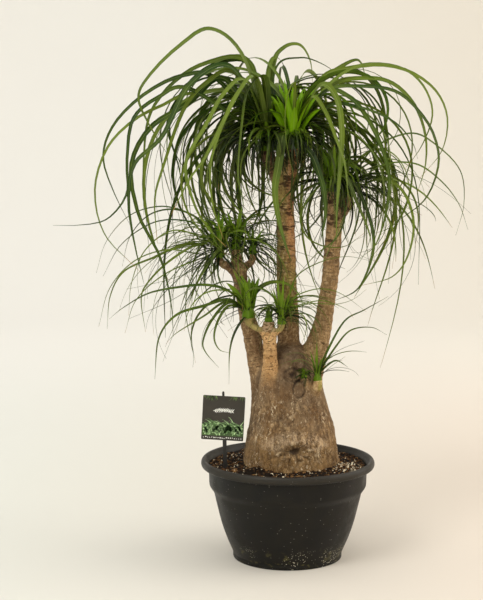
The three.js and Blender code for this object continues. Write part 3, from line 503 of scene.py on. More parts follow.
def bundle(head):
    """The bundle of leaf bases under a head: a bulb on the stem's end, turned about the vertical."""
    turn = np.linspace(0, 2 * np.pi, BULB_SEGMENTS, endpoint=False)
    out, height = head["core"] * np.array(BULB).T[..., None]
    ribbed = out * (1 + 0.06 * np.cos(5 * turn + 1.3))
    points = np.stack([ribbed * np.cos(turn), ribbed * np.sin(turn), height + 0 * turn], axis=-1)
    across = np.tile(0.5 + 0.42 * np.cos(3 * turn), len(BULB))
    return points.reshape(-1, 3) + head["seat"], ring_faces(len(BULB), BULB_SEGMENTS), across


def leaf_head(head, number, material):
    """One head: its conspicuous, ordinary and young leaves, and the bundle that they grow from."""
    draw = np.random.default_rng(BLADE_SEED + number).uniform
    *arching, age = arching_routes(head, number)
    kinds = [long_routes(head), arching, heart_routes(head, number)]
    routes, widths, turns = (np.concatenate(parts) for parts in zip(*kinds))
    longs, ordinary, young = (len(kind[1]) for kind in kinds)
    youth = np.concatenate([np.full(longs, LONG_YOUTH), YOUTH * (1 - age) ** 4,
                            draw(*YOUNG_YOUTH, young) * head["fresh"]])
    roll = np.concatenate([draw(*LONG_ROLL, longs) * np.cos(kinds[0][2]), draw(*ROLL, ordinary),
                           YOUNG_ROLL * np.cos(kinds[2][2])])
    twist = np.concatenate([draw(*LONG_TWIST, longs), draw(*TWIST, ordinary), draw(*YOUNG_TWIST, young)])
    taper = np.repeat([TAPER, YOUNG_TAPER], [longs + ordinary, young])
    points, across, along = blades(routes, widths, turns, np.radians(roll), np.radians(twist), taper)
    body, count = LEAF_STATIONS * len(BLADE_ACROSS), len(routes)
    walls, caps = closed_tubes(LEAF_STATIONS, len(BLADE_ACROSS), count)
    bulb, bulb_walls, bulb_across = bundle(head)
    # A head's light value raises the tone of all its leaves: painted light on the lit heads towards the
    # right, and the lighter green of the shoots.
    tone = draw(0, 1, count) + head["light"]
    points = np.concatenate([points, bulb])
    # The dark inside of a head is painted shade: reach is each point's distance from a spot 0.3 core radii
    # under the seat, in shade radii.
    middle = np.array(head["seat"]) - (0, 0, 0.3 * head["core"])
    reach = np.linalg.norm(points - middle, axis=1) / (head["shade"] * head["core"])

    def with_bulb(leaf_values, bulb_value):
        """Values at the leaves' points and then at the bulb's."""
        return np.append(leaf_values, np.broadcast_to(bulb_value, len(bulb)))

    piece = new_piece(
        f"{head['name']}_leaves", points, [walls, bulb_walls + count * body, caps],
        material,
        across=np.stack([with_bulb(across / 2 + 0.5, bulb_across), with_bulb(along, BULB_ALONG)], 1),
        values={"tone": with_bulb(np.repeat(tone, body), BULB_TONE),
                "youth": with_bulb(np.repeat(youth, body), BULB_YOUTH),
                "breadth": with_bulb(np.repeat(widths, body), BULB_BREADTH), "reach": reach},
        sharp=48)
    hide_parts(head["name"])


def frame_slot(node):
    """The record's material slot of a node."""
    return next(part["material_slot"] for part in frame["record"]["subparts"] if part["node"] == node)


# Trunk
LIMB_STEP = 5.0
LIMB_SIDES = 40
TRUNK_VOXEL = 2.06
JOINT_ROUNDING = 3.2
MASK_ROUNDING = 7.0
FIT_ROUNDS = 3
FIT_SHARE = 0.9
CREASE_WIDTH = 2.4
CREASE_DEPTH = 2.2
RINGS_SHIFT = 37.0
ROOT_COUNT = 4
ROOT_FIRST_TURN = 30
ROOT_ROUTE = [(30, 132, 15), (72, 122, 10.5), (104, 96, 7), (101, 48, 3)]
TRUNK_MIDDLE = (6.0, 0.0)

# Marks on the front of the swollen base, each as x, z, half width and half height
KNOT = (14, 221, 14, 8)
SCAR = (20.5, 333, 10, 14)
COLLAR = (9, 359, 12, 8.5)
UPPER_COLLAR = (20, 381, 8, 11)


def root_routes():
    """The roots: the same route out and down from the trunk's foot, turned to each side."""
    out, z, radius = np.array(ROOT_ROUTE).T
    for k in range(ROOT_COUNT):
        turn = np.radians(ROOT_FIRST_TURN + 360 * k / ROOT_COUNT)
        x, y = TRUNK_MIDDLE[0] + out * np.cos(turn), out * np.sin(turn)
        yield f"root_{k}", np.stack([x, y, z, radius], axis=-1)


def limb_lines():
    """Each limb's middle line as x, y, z and radius, at even steps of about LIMB_STEP."""
    lines = {}
    for name, stations in [*table_rows(LIMBS), *root_routes()]:
        length = np.linalg.norm(np.diff(stations[:, :3], axis=0), axis=1).sum()
        lines[name] = curve_through(stations, int(np.ceil(length / LIMB_STEP)))
    return lines


def tube(line):
    """Points, walls and end caps of a closed round tube along a line of x, y, z and radius."""
    side, up = frames_along(line[None, :, :3], np.array([[1.0, 0.0, 0.0]]))
    turn = np.linspace(0, 2 * np.pi, LIMB_SIDES, endpoint=False)[:, None]
    round_about = side[0][:, None] * np.cos(turn) + up[0][:, None] * np.sin(turn)
    points = line[:, None, :3] + line[:, None, 3:] * round_about
    return points.reshape(-1, 3), ring_faces(len(line), LIMB_SIDES), end_caps(len(line), LIMB_SIDES)


def modified_mesh(piece):
    """A new mesh with the result of a piece's modifiers."""
    return bpy.data.meshes.new_from_object(piece.evaluated_get(bpy.context.evaluated_depsgraph_get()))


def remeshed(points, quads, triangles):
    """Points and quads of one even skin round several overlapping closed bodies."""
    rough = new_piece("trunk_rough", points, [quads, triangles])
    skin = rough.modifiers.new("Skin", "REMESH")
    skin.mode = "VOXEL"
    skin.voxel_size = TRUNK_VOXEL * MM
    mesh = modified_mesh(rough)
    points = np.empty(len(mesh.vertices) * 3)
    mesh.vertices.foreach_get("co", points)
    corners = np.empty(len(mesh.loops), int)
    mesh.loops.foreach_get("vertex_index", corners)
    bpy.data.objects.remove(rough)
    bpy.data.meshes.remove(mesh)
    return points.reshape(-1, 3) / MM, corners.reshape(-1, 4)


def limb_distances(points, lines):
    """For each point and limb: the distance to the limb's skin, the direction away from its middle
    line, and the place along it. A limb is a row of cones, and the nearest one counts."""
    gaps, ways, places = [], [], []
    for line in lines.values():
        start, radius = line[:-1, :3], line[:-1, 3]
        run, taper = np.diff(line[:, :3], axis=0), np.diff(line[:, 3])
        squared = (run**2).sum(axis=1)
        reach = points @ run.T - (start * run).sum(axis=1)
        share = np.clip(reach / squared, 0, 1)
        far = (points**2).sum(axis=1)[:, None] - 2 * points @ start.T + (start**2).sum(axis=1)
        far = np.sqrt(np.maximum(far + share * (share * squared - 2 * reach), 0))
        gap = far - radius - share * taper
        nearest = gap.argmin(axis=1)
        pick = np.arange(len(points)), nearest
        gaps.append(gap[pick])
        ways.append(unit(points - start[nearest] - share[pick][:, None] * run[nearest]))
        places.append((nearest + share[pick]) * np.sqrt(squared[0]))
    return np.stack(gaps, 1), np.stack(ways, 1), np.stack(places, 1)


def limb_shares(gaps, rounding):
    """How much each limb counts at a point: exp(-gap / rounding), as shares of their sum."""
    weight = np.exp(-(gaps - gaps.min(axis=1, keepdims=True)) / rounding)
    return weight / weight.sum(axis=1, keepdims=True)


def mark_distance(points, mark):
    """Distance from a mark's middle in half sizes, and the turn about it, on the front only."""
    x, z, half_width, half_height = mark
    across, above = (points[:, 0] - x) / half_width, (points[:, 2] - z) / half_height
    far = np.hypot(across, above) + 20 * (points[:, 1] > -5)
    return far, np.arctan2(above, across)


def wrinkle_wave(points, turn):
    """Eleven wavy rays about the knot: 1 on a wrinkle and -1 between two."""
    return np.cos(11 * turn + 2 * noise(points, 12, 10))


def bark_relief(points, places, swollen):
    """How far the bark stands out from the smooth limbs, in millimetres.

    The swollen base has broad lumps, upright folds and small scales. The stems are lumpy and have
    the rings of fallen leaves. The front has a knot with wrinkles round it, a flat tongue-shaped
    scar with a groove round it, and the raised collars of two lost shoots.
    """
    low = smooth_step(250, 190, points[:, 2])
    folds = 1 - 2 * np.abs(noise(points, (11, 11, 70), 3))
    relief = swollen * (2.4 * noise(points, 52, 1) + 1.3 * noise(points, 23, 2) + 0.9 * folds)
    relief += swollen * (mix(0.3, 0.7, low) * noise(points, 8, 4) + 0.6 * noise(points, 4, 5))
    ring = 2 * np.pi * (places / 15 + 0.25 * noise(points, 30, 6))
    stems = 1 - swollen
    relief += stems * (0.9 * noise(points, 26, 7) + 0.45 * noise(points, 9, 8) + 0.35 * np.cos(ring))
    relief += stems * 0.3 * noise(points, (5, 5, 14), 9)
    far, turn = mark_distance(points, KNOT)
    relief += 2.2 * hump(far - 1.9, 0.8) - 7.5 * hump(far, 1.0)
    relief += wrinkle_wave(points, turn) * hump(far - 2.2, 1.0)
    far, _ = mark_distance(points, SCAR)
    relief += 0.8 * smooth_step(1.0, 0.8, far) - 2.0 * hump(far - 1.08, 0.12)
    for mark in (COLLAR, UPPER_COLLAR):
        far, _ = mark_distance(points, mark)
        relief += 2.2 * hump(far - 0.95, 0.25) - 1.8 * hump(far - 1.4, 0.18)
    return relief


def creases(points, stub_gap, stem_gap, stub_share):
    """1 on the line where the cut stub meets the left stem, and on the line 3 mm beside the stub's
    right flank. Both fall off to their sides as a hump and fade out downwards."""
    x, y, z = points.T
    left = hump(stub_gap - stem_gap, CREASE_WIDTH) * smooth_step(308, 332, z) * smooth_step(445, 425, z)
    right = hump(stub_gap - 3, CREASE_WIDTH) * smooth_step(330, 348, z) * smooth_step(420, 400, z)
    right *= smooth_step(-30, -22, x) * (1 - stub_share)
    return (left + right) * smooth_step(-8, -20, y)


def painted_shade_and_marks(points, crease):
    """Painted shade on the bark in the knot and between its wrinkles, in the groove round the scar, in
    and round the collars and in the creases. Also the pale halo over the knot, and the scar."""
    (knot, turn), (scar, _), (collar, _), (upper, _) = (
        mark_distance(points, mark) for mark in (KNOT, SCAR, COLLAR, UPPER_COLLAR))
    hollow = hump(knot, 1.0) + 0.6 * np.maximum(0, -wrinkle_wave(points, turn)) * hump(knot - 1.9, 1.1)
    hollow += 0.7 * hump(scar - 1.08, 0.2)
    hollow += 0.5 * hump(collar - 1.4, 0.35) + 0.8 * np.exp(-(collar / 0.8) ** 4)
    hollow += 0.45 * hump(upper - 1.3, 0.35) + 0.4 * np.exp(-(upper / 0.6) ** 4)
    # The creases get painted shade too.
    hollow = (hollow + 0.8 * crease) * (0.95 + 0.45 * noise(points, 5, 12))
    halo = hump(knot - 3.0, 1.5) * smooth_step(-4, 4, points[:, 2] - KNOT[1])
    return {"hollow": hollow, "halo": halo, "scar": smooth_step(1.05, 0.9, scar)}


def trunk(material):
    """The trunk as one skin: the tubes of its limbs are joined, drawn onto their smooth union and
    given the relief of the bark.

    The smooth union is where sum(exp(-gap / JOINT_ROUNDING)) over the limbs is 1.
    """
    lines = limb_lines()
    bodies, start = [], 0
    for points, *faces in map(tube, lines.values()):
        bodies.append((points, *(block + start for block in faces)))
        start += len(points)
    points, quads = remeshed(*(np.concatenate(part) for part in zip(*bodies)))
    for _ in range(FIT_ROUNDS):
        gaps, ways, _ = limb_distances(points, lines)
        blended = -JOINT_ROUNDING * np.log(np.exp(-gaps / JOINT_ROUNDING).sum(axis=1))
        outward = unit((limb_shares(gaps, JOINT_ROUNDING)[..., None] * ways).sum(axis=1))
        points = points - FIT_SHARE * blended[:, None] * outward
    gaps, _, places = limb_distances(points, lines)
    shares = limb_shares(gaps, MASK_ROUNDING)
    nearest = shares.argmax(axis=1)
    place = places[np.arange(len(points)), nearest] + RINGS_SHIFT * nearest
    gap, share = dict(zip(lines, gaps.T)), dict(zip(lines, shares.T))
    crease = creases(points, gap["front_stub"], gap["left_stem"], share["front_stub"])
    relief = bark_relief(points, place, share["caudex"]) - CREASE_DEPTH * crease
    points = points + relief[:, None] * outward
    twigs = share["stub_twig_left"] + share["stub_twig_right"]
    piece = new_piece("trunk_bark", points, [quads], material, values={
        "place": place, "swollen": share["caudex"], "stub": share["front_stub"] + twigs, "twig": twigs,
        "nub": share["base_nub_side"], **painted_shade_and_marks(points, crease)})
    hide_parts("trunk")


# Pot and soil
POT_SEGMENTS = 180
DRILL_SIDES = 24
POT_WAVES = (0.0016, 0.0007)
POT_ROUND_BELOW = 30.0
FLOOR_RING = 40.0
SOIL_SEGMENTS = 200
SOIL_RINGS = 44
SOIL_GAP = 0.4

# The pit in the soil as radius and height, and its deepest point
PIT = [(20, 104), (62, 114), (82, 136), (89, 160)]
PIT_BOTTOM = 103.0
TRUNK_HOLE = 88.0

# A clump of soil against the trunk: its middle x and y, half sizes and height
CLUMP = (-62, -78, 17, 12, 9)

# Bits on the soil: the shares of the area that they are drawn from, out to a radius, and how near
# they may lie to the trunk's middle and how far from the pot's
BITS_AREA = (0.33, 0.985)
BITS_RADIUS = 147.0
BITS_FROM_TRUNK = 90.5
BITS_EDGE = 146.0


def turned(profile, segments, middle=(0.0, 0.0)):
    """Rings of points round an upright axis from a profile of radius and height."""
    profile = np.asarray(profile, float)
    turn = np.linspace(0, 2 * np.pi, segments, endpoint=False)
    out, height = profile[:, :1], profile[:, 1:]
    return np.stack([middle[0] + out * np.cos(turn), middle[1] + out * np.sin(turn), height + 0 * turn], -1)


def closed_rings(rings, first, last):
    """Points and faces of a body of rings of points, closed by fans to a first and a last point."""
    rows, columns = rings.shape[:2]
    here = np.arange(columns)
    beside = (here + 1) % columns
    pole, base = rows * columns + 0 * here, (rows - 1) * columns
    under = np.stack([pole, beside, here], axis=1)
    over = np.stack([pole + 1, base + here, base + beside], axis=1)
    points = np.concatenate([rings.reshape(-1, 3), [first, last]])
    return points, [ring_faces(rows, columns), np.concatenate([under, over])]


def rounded_profile(points):
    """A profile with its corners cut off: each of two rounds puts points a quarter along every
    straight."""
    points = np.asarray(points, float)
    for _ in range(2):
        start, stop = points[:-1], points[1:]
        cut = np.stack([mix(start, stop, 0.25), mix(start, stop, 0.75)], axis=1).reshape(-1, 2)
        points = np.concatenate([points[:1], cut, points[-1:]])
    return points


def inner_wall(gap):
    """The inside of the pot's wall from the floor up, as radius and height, with a gap to it."""
    return [(radius - POT_WALL - gap, height) for radius, height in POT_OUTSIDE[4:]]


def pot(material):
    """The pot: a turned shell with a foot, a shoulder under the lip and a rolled lip, and holes
    drilled through its floor. The shell is a little out of round, as thin plastic is."""
    floor_edge = (POT_OUTSIDE[0][0] - POT_WALL - 1, POT_FLOOR)
    profile = rounded_profile([(FLOOR_RING, 0), *POT_OUTSIDE, *POT_LIP, *inner_wall(0)[::-1], floor_edge,
                               (FLOOR_RING, POT_FLOOR)])
    rings = turned(profile, POT_SEGMENTS)
    turn = np.arctan2(rings[..., 1], rings[..., 0])
    wave = POT_WAVES[0] * np.cos(2 * turn + 0.6) + POT_WAVES[1] * np.cos(5 * turn)
    rings[..., :2] *= (1 + wave * (rings[..., 2] > POT_ROUND_BELOW))[..., None]
    points, faces = closed_rings(rings, (0, 0, 0), (0, 0, POT_FLOOR))
    piece = new_piece("pot_shell", points, faces, material, sharp=60)
    drill_holes(piece)
    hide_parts("pot")


def drill_holes(piece):
    """The drain holes, cut by upright cylinders in a ring round the floor."""
    ring = turned([(DRAIN_RADIUS, -5), (DRAIN_RADIUS, POT_FLOOR + 5)], DRILL_SIDES)
    turn = 2 * np.pi * (np.arange(DRAIN_HOLES) + 0.5) / DRAIN_HOLES
    place = np.stack([DRAIN_CIRCLE * np.cos(turn), DRAIN_CIRCLE * np.sin(turn), 0 * turn], axis=-1)
    points = (ring + place[:, None, None]).reshape(-1, 3)
    drill = new_piece("drill", points, closed_tubes(2, DRILL_SIDES, DRAIN_HOLES))
    cut = piece.modifiers.new("Holes", "BOOLEAN")
    cut.operation = "DIFFERENCE"
    cut.solver = "EXACT"
    cut.object = drill
    apply_modifiers(piece)
    bpy.data.objects.remove(drill)


def apply_modifiers(piece):
    """Puts the result of a piece's modifiers into its mesh."""
    mesh = modified_mesh(piece)
    piece.modifiers.clear()
    old, piece.data = piece.data, mesh
    bpy.data.meshes.remove(old)


def soil_height(x, y):
    """Height of the soil's surface: a low mound towards the trunk, heaps and crumbs by noise, and a
    clump of soil left against the trunk at its front left."""
    flat = np.stack([x, y, np.zeros_like(x)], axis=-1).reshape(-1, 3)
    level = SOIL_LEVEL + SOIL_MOUND * smooth_step(148, 95, np.hypot(x, y))
    bumps = 2.2 * noise(flat, 34, 21) + 1.6 * noise(flat, 13, 22) + 1.1 * noise(flat, 6, 23)
    middle_x, middle_y, half_x, half_y, high = CLUMP
    clump = high * hump(np.hypot((x - middle_x) / half_x, (y - middle_y) / half_y), 1.0)
    return level + clump + bumps.reshape(x.shape) * smooth_step(150, 140, np.hypot(x, y))


def soil(material):
    """The soil: rings about the trunk from the pit that it stands in, over the lumpy surface, down
    inside the pot's wall and across its floor."""
    turn = np.linspace(0, 2 * np.pi, SOIL_SEGMENTS, endpoint=False)
    direction = np.stack([np.cos(turn), np.sin(turn)], axis=-1)
    wall, floor = inner_wall(SOIL_GAP), POT_FLOOR + SOIL_GAP
    middle = np.array(TRUNK_MIDDLE)
    inward = direction @ middle
    edge = -inward + np.sqrt(inward**2 + wall[-1][0] ** 2 - middle @ middle)
    share = (np.arange(SOIL_RINGS) / (SOIL_RINGS - 1))[:, None]
    surface = middle + mix(TRUNK_HOLE, edge, share)[..., None] * direction
    top = np.concatenate([surface, soil_height(surface[..., 0], surface[..., 1])[..., None]], axis=-1)
    hole = turned(PIT, SOIL_SEGMENTS, TRUNK_MIDDLE)
    floor_edge = (POT_OUTSIDE[0][0] - POT_WALL - 2, floor)
    inside = turned([*wall[::-1], floor_edge, (FLOOR_RING, floor)], SOIL_SEGMENTS)
    rings = np.concatenate([hole, top, inside])[::-1]
    points, faces = closed_rings(rings, (0, 0, floor), (*TRUNK_MIDDLE, PIT_BOTTOM))
    piece = new_piece("soil_body", points, faces, material)
    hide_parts("soil")


def scattered(name, count, sizes, shape, seed, material, near=None):
    """Many small lumps on the soil: a base shape, stretched, turned and dented differently for each,
    half sunk in the surface. sizes is the range of the longest half axis. shape is its half axes.
    near gives a spot and a spread that the lumps keep to."""
    draw = np.random.default_rng(seed)
    ball, faces = lump_shape()
    turn, out = draw.uniform(0, 2 * np.pi, count), np.sqrt(draw.uniform(*BITS_AREA, count)) * BITS_RADIUS
    place = np.stack([out * np.cos(turn), out * np.sin(turn)], axis=-1)
    if near is not None:
        place = np.array(near[0]) + draw.normal(0, 1, (count, 2)) * near[1]
    free = np.linalg.norm(place - TRUNK_MIDDLE, axis=1) > BITS_FROM_TRUNK
    free &= np.linalg.norm(place, axis=1) < BITS_EDGE
    place = place[free]
    size = draw.uniform(*sizes, count)[free] * draw.uniform(0.4, 1, count)[free]
    axes = np.array(shape) * draw.uniform(0.7, 1.3, (len(place), 3)) * size[:, None]
    body = ball * axes[:, None] * draw.uniform(0.82, 1.15, (len(place), len(ball), 1))
    body = turned_about(body, draw.uniform(0, 2 * np.pi, len(place)), draw.normal(0, 0.45, len(place)))
    height = soil_height(place[:, 0], place[:, 1]) + 0.35 * axes[:, 2]
    points = body + np.concatenate([place, height[:, None]], axis=1)[:, None]
    new_piece(name, points.reshape(-1, 3), [repeated(faces, len(place), len(ball))], material,
              values={"tone": np.repeat(draw.uniform(0, 1, len(place)), len(ball))})


def lump_shape():
    """An icosahedron's corners and faces."""
    golden = (1 + 5**0.5) / 2
    corners = np.array([(a, b, 0) for a in (-1, 1) for b in (-golden, golden)], float)
    corners = unit(np.concatenate([corners, np.roll(corners, 1, axis=1), np.roll(corners, 2, axis=1)]))
    trio = np.array([(a, b, c) for a in range(12) for b in range(a + 1, 12) for c in range(b + 1, 12)])
    sides = np.linalg.norm(corners[trio] - corners[np.roll(trio, 1, axis=1)], axis=2)
    trio = trio[sides.max(axis=1) < 1.2]
    normal = np.cross(corners[trio[:, 1]] - corners[trio[:, 0]], corners[trio[:, 2]] - corners[trio[:, 0]])
    inward = (normal * corners[trio].sum(axis=1)).sum(axis=1) < 0
    trio[inward] = trio[inward][:, ::-1]
    return corners, trio


def turned_about(bodies, turn, tilt):
    """Each body tilted about X and then turned about Z."""
    x, y, z = np.moveaxis(bodies, -1, 0)
    cos, sin = np.cos(tilt)[:, None], np.sin(tilt)[:, None]
    y, z = y * cos - z * sin, y * sin + z * cos
    cos, sin = np.cos(turn)[:, None], np.sin(turn)[:, None]
    return np.stack([x * cos - y * sin, x * sin + y * cos, z], axis=-1)


# Label, millimetres
CARD_MIDDLE = np.array([-120.7, -46.5, 275.5])
CARD_TURN = np.radians(3)
CARD_WIDTH, CARD_HEIGHT, CARD_THICKNESS, CARD_CORNER = 79.0, 84.0, 1.0, 2.0
STAKE_HALF, STAKE_NECK, STAKE_THICKNESS = 3.7, 2.2, 2.4
STAKE_FOOT, STAKE_SHOULDER, STAKE_TOP = 112.0, 304.0, 326.0
STAKE_ACROSS = -118.0
STAKE_BEHIND = 0.85
STAKE_LEAN = np.radians(-1.45)
PRINT_THICKNESS = 0.12
PRINT_EDGE = 38.6
PRINT_STEPS = 9
GRASS_BLADES, FRINGE_BLADES, SPRIG_NODES, PEBBLES = 84, 26, 11, 19
FIELD = [(-38.6, -34), (38.6, -34), (38.6, -13), (20, -8), (0, -10), (-20, -6), (-38.6, -12)]


def hung(points, turn, middle):
    """Points of across, front and up, turned about Y and moved to where their middle hangs."""
    x, y, z = np.moveaxis(points, -1, 0)
    cos, sin = np.cos(turn), np.sin(turn)
    return np.stack([x * cos + z * sin, y, z * cos - x * sin], axis=-1) + middle


def slab(name, outline, thickness, material, turn, middle):
    """A flat slab from an outline of across and up, turned about Y and moved to its middle."""
    outline = np.asarray(outline, float)
    across, up = outline.mean(axis=0)
    front, back = thickness / 2, -thickness / 2
    rims = np.stack([np.insert(outline, 1, side, axis=1) for side in (front, back)])
    points, faces = closed_rings(rims, (across, front, up), (across, back, up))
    return new_piece(name, hung(points, turn, middle), faces, material, sharp=40)


def arc(middle, radius, first, last):
    """Seven points on a round corner, from one turn to another in degrees."""
    turn = np.radians(np.linspace(first, last, 7))
    return np.stack([middle[0] + radius * np.cos(turn), middle[1] + radius * np.sin(turn)], axis=-1)


def label_card(material):
    """The card: a rectangle with rounded corners."""
    right, top = CARD_WIDTH / 2 - CARD_CORNER, CARD_HEIGHT / 2 - CARD_CORNER
    outline = np.concatenate([arc((a * right, b * top), CARD_CORNER, first, first + 90)
                              for a, b, first in [(1, 1, 0), (-1, 1, 90), (-1, -1, 180), (1, -1, 270)]])
    piece = slab("label_card_board", outline, CARD_THICKNESS, material, CARD_TURN,
                 CARD_MIDDLE)
    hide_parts("label_card")


def label_stake(material):
    """The stake behind the card: flat, pointed below, with a narrow round-ended neck."""
    half, neck, foot, shoulder = STAKE_HALF, STAKE_NECK, STAKE_FOOT, STAKE_SHOULDER
    middle = (foot + STAKE_TOP) / 2
    outline = np.array([(-1, foot), (1, foot), (half, foot + 16), (half, shoulder), (neck, shoulder + 3),
                        *arc((0, STAKE_TOP - neck), neck, 0, 180), (-neck, shoulder + 3),
                        (-half, shoulder), (-half, foot + 16)])
    place = (STAKE_ACROSS, CARD_MIDDLE[1] + STAKE_BEHIND + STAKE_THICKNESS / 2, middle)
    piece = slab("label_stake_bar", outline - (0, middle), STAKE_THICKNESS, material,
                 STAKE_LEAN, place)
    soften = piece.modifiers.new("Soft edges", "BEVEL")
    soften.width = 0.5 * MM
    soften.segments = 2
    soften.limit_method = "ANGLE"
    apply_modifiers(piece)
    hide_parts("label_stake")


def printed_strips(name, lines, widths, lift, material, tones):
    """Thin raised strips on the card's face, one along each line of across and up. A strip is
    pointed at its end: half its width at a share s is width / 2 * (1 - s^1.5)."""
    count, steps = lines.shape[:2]
    ahead = unit(np.gradient(lines, axis=1))
    side = np.stack([ahead[..., 1], -ahead[..., 0]], axis=-1)
    half = np.maximum(widths[:, None] / 2 * (1 - np.linspace(0, 1, steps) ** 1.5), 0.05)[..., None]
    edges = np.stack([lines + side * half, lines - side * half], axis=2)
    across, up = np.moveaxis(np.repeat(edges, 2, axis=2), -1, 0)
    depth = -CARD_THICKNESS / 2 - lift - PRINT_THICKNESS * np.array([0, 1, 1, 0])
    points = hung(np.stack([across, depth + 0 * up, up], axis=-1), CARD_TURN, CARD_MIDDLE)
    new_piece(name, points.reshape(-1, 3), closed_tubes(steps, 4, count), material,
              values={"tone": np.repeat(tones, 4 * steps)}, sharp=30)


def arched_lines(roots, turns, lengths, droop):
    """Lines that start at roots in the direction of turns, in radians, and bend down by droop, kept
    inside the card's sides."""
    share = np.linspace(0, 1, PRINT_STEPS)
    bent = turns[:, None] - np.sign(np.cos(turns))[:, None] * droop[:, None] * share**1.3
    step = np.stack([np.cos(bent), np.sin(bent)], axis=-1) * (lengths / (PRINT_STEPS - 1))[:, None, None]
    line = np.concatenate([np.zeros((len(roots), 1, 2)), np.cumsum(step[:, :-1], axis=1)], axis=1)
    line += roots[:, None]
    line[..., 0] = np.clip(line[..., 0], -PRINT_EDGE, PRINT_EDGE)
    return line


def label_print(grass_green, shade_green, pale):
    """The print on the card: a band of arched grass, a dim fringe along the top edge, a pale sprig
    and a row of pale pebbles. A dim green field lies behind the grass."""
    draw = np.random.default_rng(7).uniform
    face = CARD_MIDDLE - (0, (CARD_THICKNESS + PRINT_THICKNESS) / 2, 0)
    slab("label_print_field", FIELD, PRINT_THICKNESS, shade_green, CARD_TURN, face)

    count = GRASS_BLADES
    roots = np.stack([np.linspace(-37, 37, count) + draw(-1.5, 1.5, count), draw(-33, -22, count)], axis=-1)
    turns = np.pi / 2 + draw(-0.75, 0.75, count) * np.clip((38 - np.abs(roots[:, 0])) / 12, 0.1, 1)
    by_edge = np.abs(roots[:, 0]) > 30
    turns[by_edge] = np.pi / 2 + 0.35 * np.sign(roots[by_edge, 0])
    lines = arched_lines(roots, turns, draw(16, 34, count), draw(0.6, 1.9, count))
    printed_strips("label_print_grass", lines, draw(1.4, 2.8, count), PRINT_THICKNESS, grass_green,
                   draw(0, 1, count))

    count = FRINGE_BLADES
    sides = np.concatenate([draw(-38, -14, count // 2), draw(14, 38, count // 2)])
    roots = np.stack([sides, np.full(count, 41.0)], axis=-1)
    turns = draw(-0.8, 0.8, count) - np.pi / 2
    lines = arched_lines(roots, turns, draw(5, 11, count), draw(0, 0.4, count))
    printed_strips("label_print_fringe", lines, draw(1.2, 2.2, count), 0, shade_green, draw(0, 1, count))

    share = np.linspace(0, 1, PRINT_STEPS)
    stem = np.stack([mix(-19, 19, share), 13 + 2.2 * np.sin(np.pi * share)], axis=-1)
    nodes = [np.interp(np.linspace(0.08, 0.92, SPRIG_NODES), share, column) for column in stem.T]
    turns = np.tile([0.85, -0.85], SPRIG_NODES) + draw(-0.1, 0.1, 2 * SPRIG_NODES)
    leaves = arched_lines(np.repeat(np.stack(nodes, axis=-1), 2, axis=0), turns, draw(4.5, 6.5, len(turns)),
                          0 * turns)
    widths = np.append(1.3, np.full(len(turns), 2.3))
    printed_strips("label_print_sprig", np.concatenate([stem[None], leaves]), widths, 0, pale,
                   draw(0, 1, len(widths)))

    roots = np.stack([np.linspace(-36, 34, PEBBLES), draw(-38.5, -36.5, PEBBLES)], axis=-1)
    lines = arched_lines(roots, draw(-0.2, 0.2, PEBBLES), draw(1.6, 3.4, PEBBLES), np.zeros(PEBBLES))
    printed_strips("label_print_pebbles", lines, draw(1.6, 2.8, PEBBLES), 0, pale, draw(0, 1, PEBBLES))


# Materials. Masks, sums and colours are sockets, and a new node goes into its first socket's tree.
# A colour is a socket, three screen values of 0 to 255, or four linear values.
def new_material(name):
    """A node material and its tree."""
    material = bpy.data.materials.new(name)
    material.use_nodes = True
    return material, material.node_tree


def add(tree, kind, settings=None, **inputs):
    """A node with its settings. An input is a value or a socket, by name with _ for a space, or by
    number as in_3."""
    new = tree.nodes.new("ShaderNode" + kind)
    for key, value in (settings or {}).items():
        setattr(new, key, value)
    for key, value in inputs.items():
        place = int(key[3:]) if key.startswith("in_") else key.replace("_", " ")
        if isinstance(value, bpy.types.NodeSocket):
            tree.links.new(value, new.inputs[place])
        else:
            new.inputs[place].default_value = value
    return new


def texture_place(tree, stretch=(1, 1, 1)):
    """Object coordinates in metres, stretched for a pattern that is longer one way."""
    place = add(tree, "TexCoord").outputs["Object"]
    return add(tree, "Mapping", Vector=place, Scale=stretch).outputs[0]


def own_values(tree, names):
    """The piece's own attributes of those names."""
    return [add(tree, "Attribute", {"attribute_name": name}).outputs["Fac"] for name in names.split()]


def cloudy(place, scale, detail=4.0, roughness=0.6):
    """Smooth noise of 0 to 1 at a place."""
    return add(place.id_data, "TexNoise", Vector=place, Scale=scale, Detail=detail,
               Roughness=roughness).outputs["Fac"]


def between(value, low, high, start=0.0, stop=1.0):
    """A smooth step of a value from start at low to stop at high."""
    return add(value.id_data, "MapRange", {"interpolation_type": "SMOOTHSTEP"}, Value=value, in_1=low,
               in_2=high, in_3=start, in_4=stop).outputs[0]


def reckon(operation, first, second=0.0):
    """The result of a Math node."""
    return add(first.id_data, "Math", {"operation": operation}, in_0=first, in_1=second).outputs[0]


def times(first, *others):
    """The product of a socket with sockets or numbers."""
    for other in others:
        first = reckon("MULTIPLY", first, other)
    return first


def weighted(first, *others):
    """A sum of sockets, each times its weight."""
    total = times(*first)
    for part in others:
        total = reckon("ADD", total, times(*part))
    return total


def rgb(red, green, blue):
    """A linear colour from screen values of 0 to 255."""
    screen = np.array([red, green, blue]) / 255
    return (*np.where(screen <= 0.04045, screen / 12.92, ((screen + 0.055) / 1.055) ** 2.4).tolist(), 1.0)


def tinted(share, first, second, blend="MIX"):
    """Two colours mixed by a share."""
    first, second = (rgb(*colour) if isinstance(colour, tuple) and len(colour) == 3 else colour
                     for colour in (first, second))
    return add(share.id_data, "Mix", {"data_type": "RGBA", "blend_type": blend}, in_0=share, in_6=first,
               in_7=second).outputs[2]


def layered(colour, *layers):
    """A colour with others laid over it in turn, each by its share."""
    for share, other, *blend in layers:
        colour = tinted(share, colour, other, *blend)
    return colour


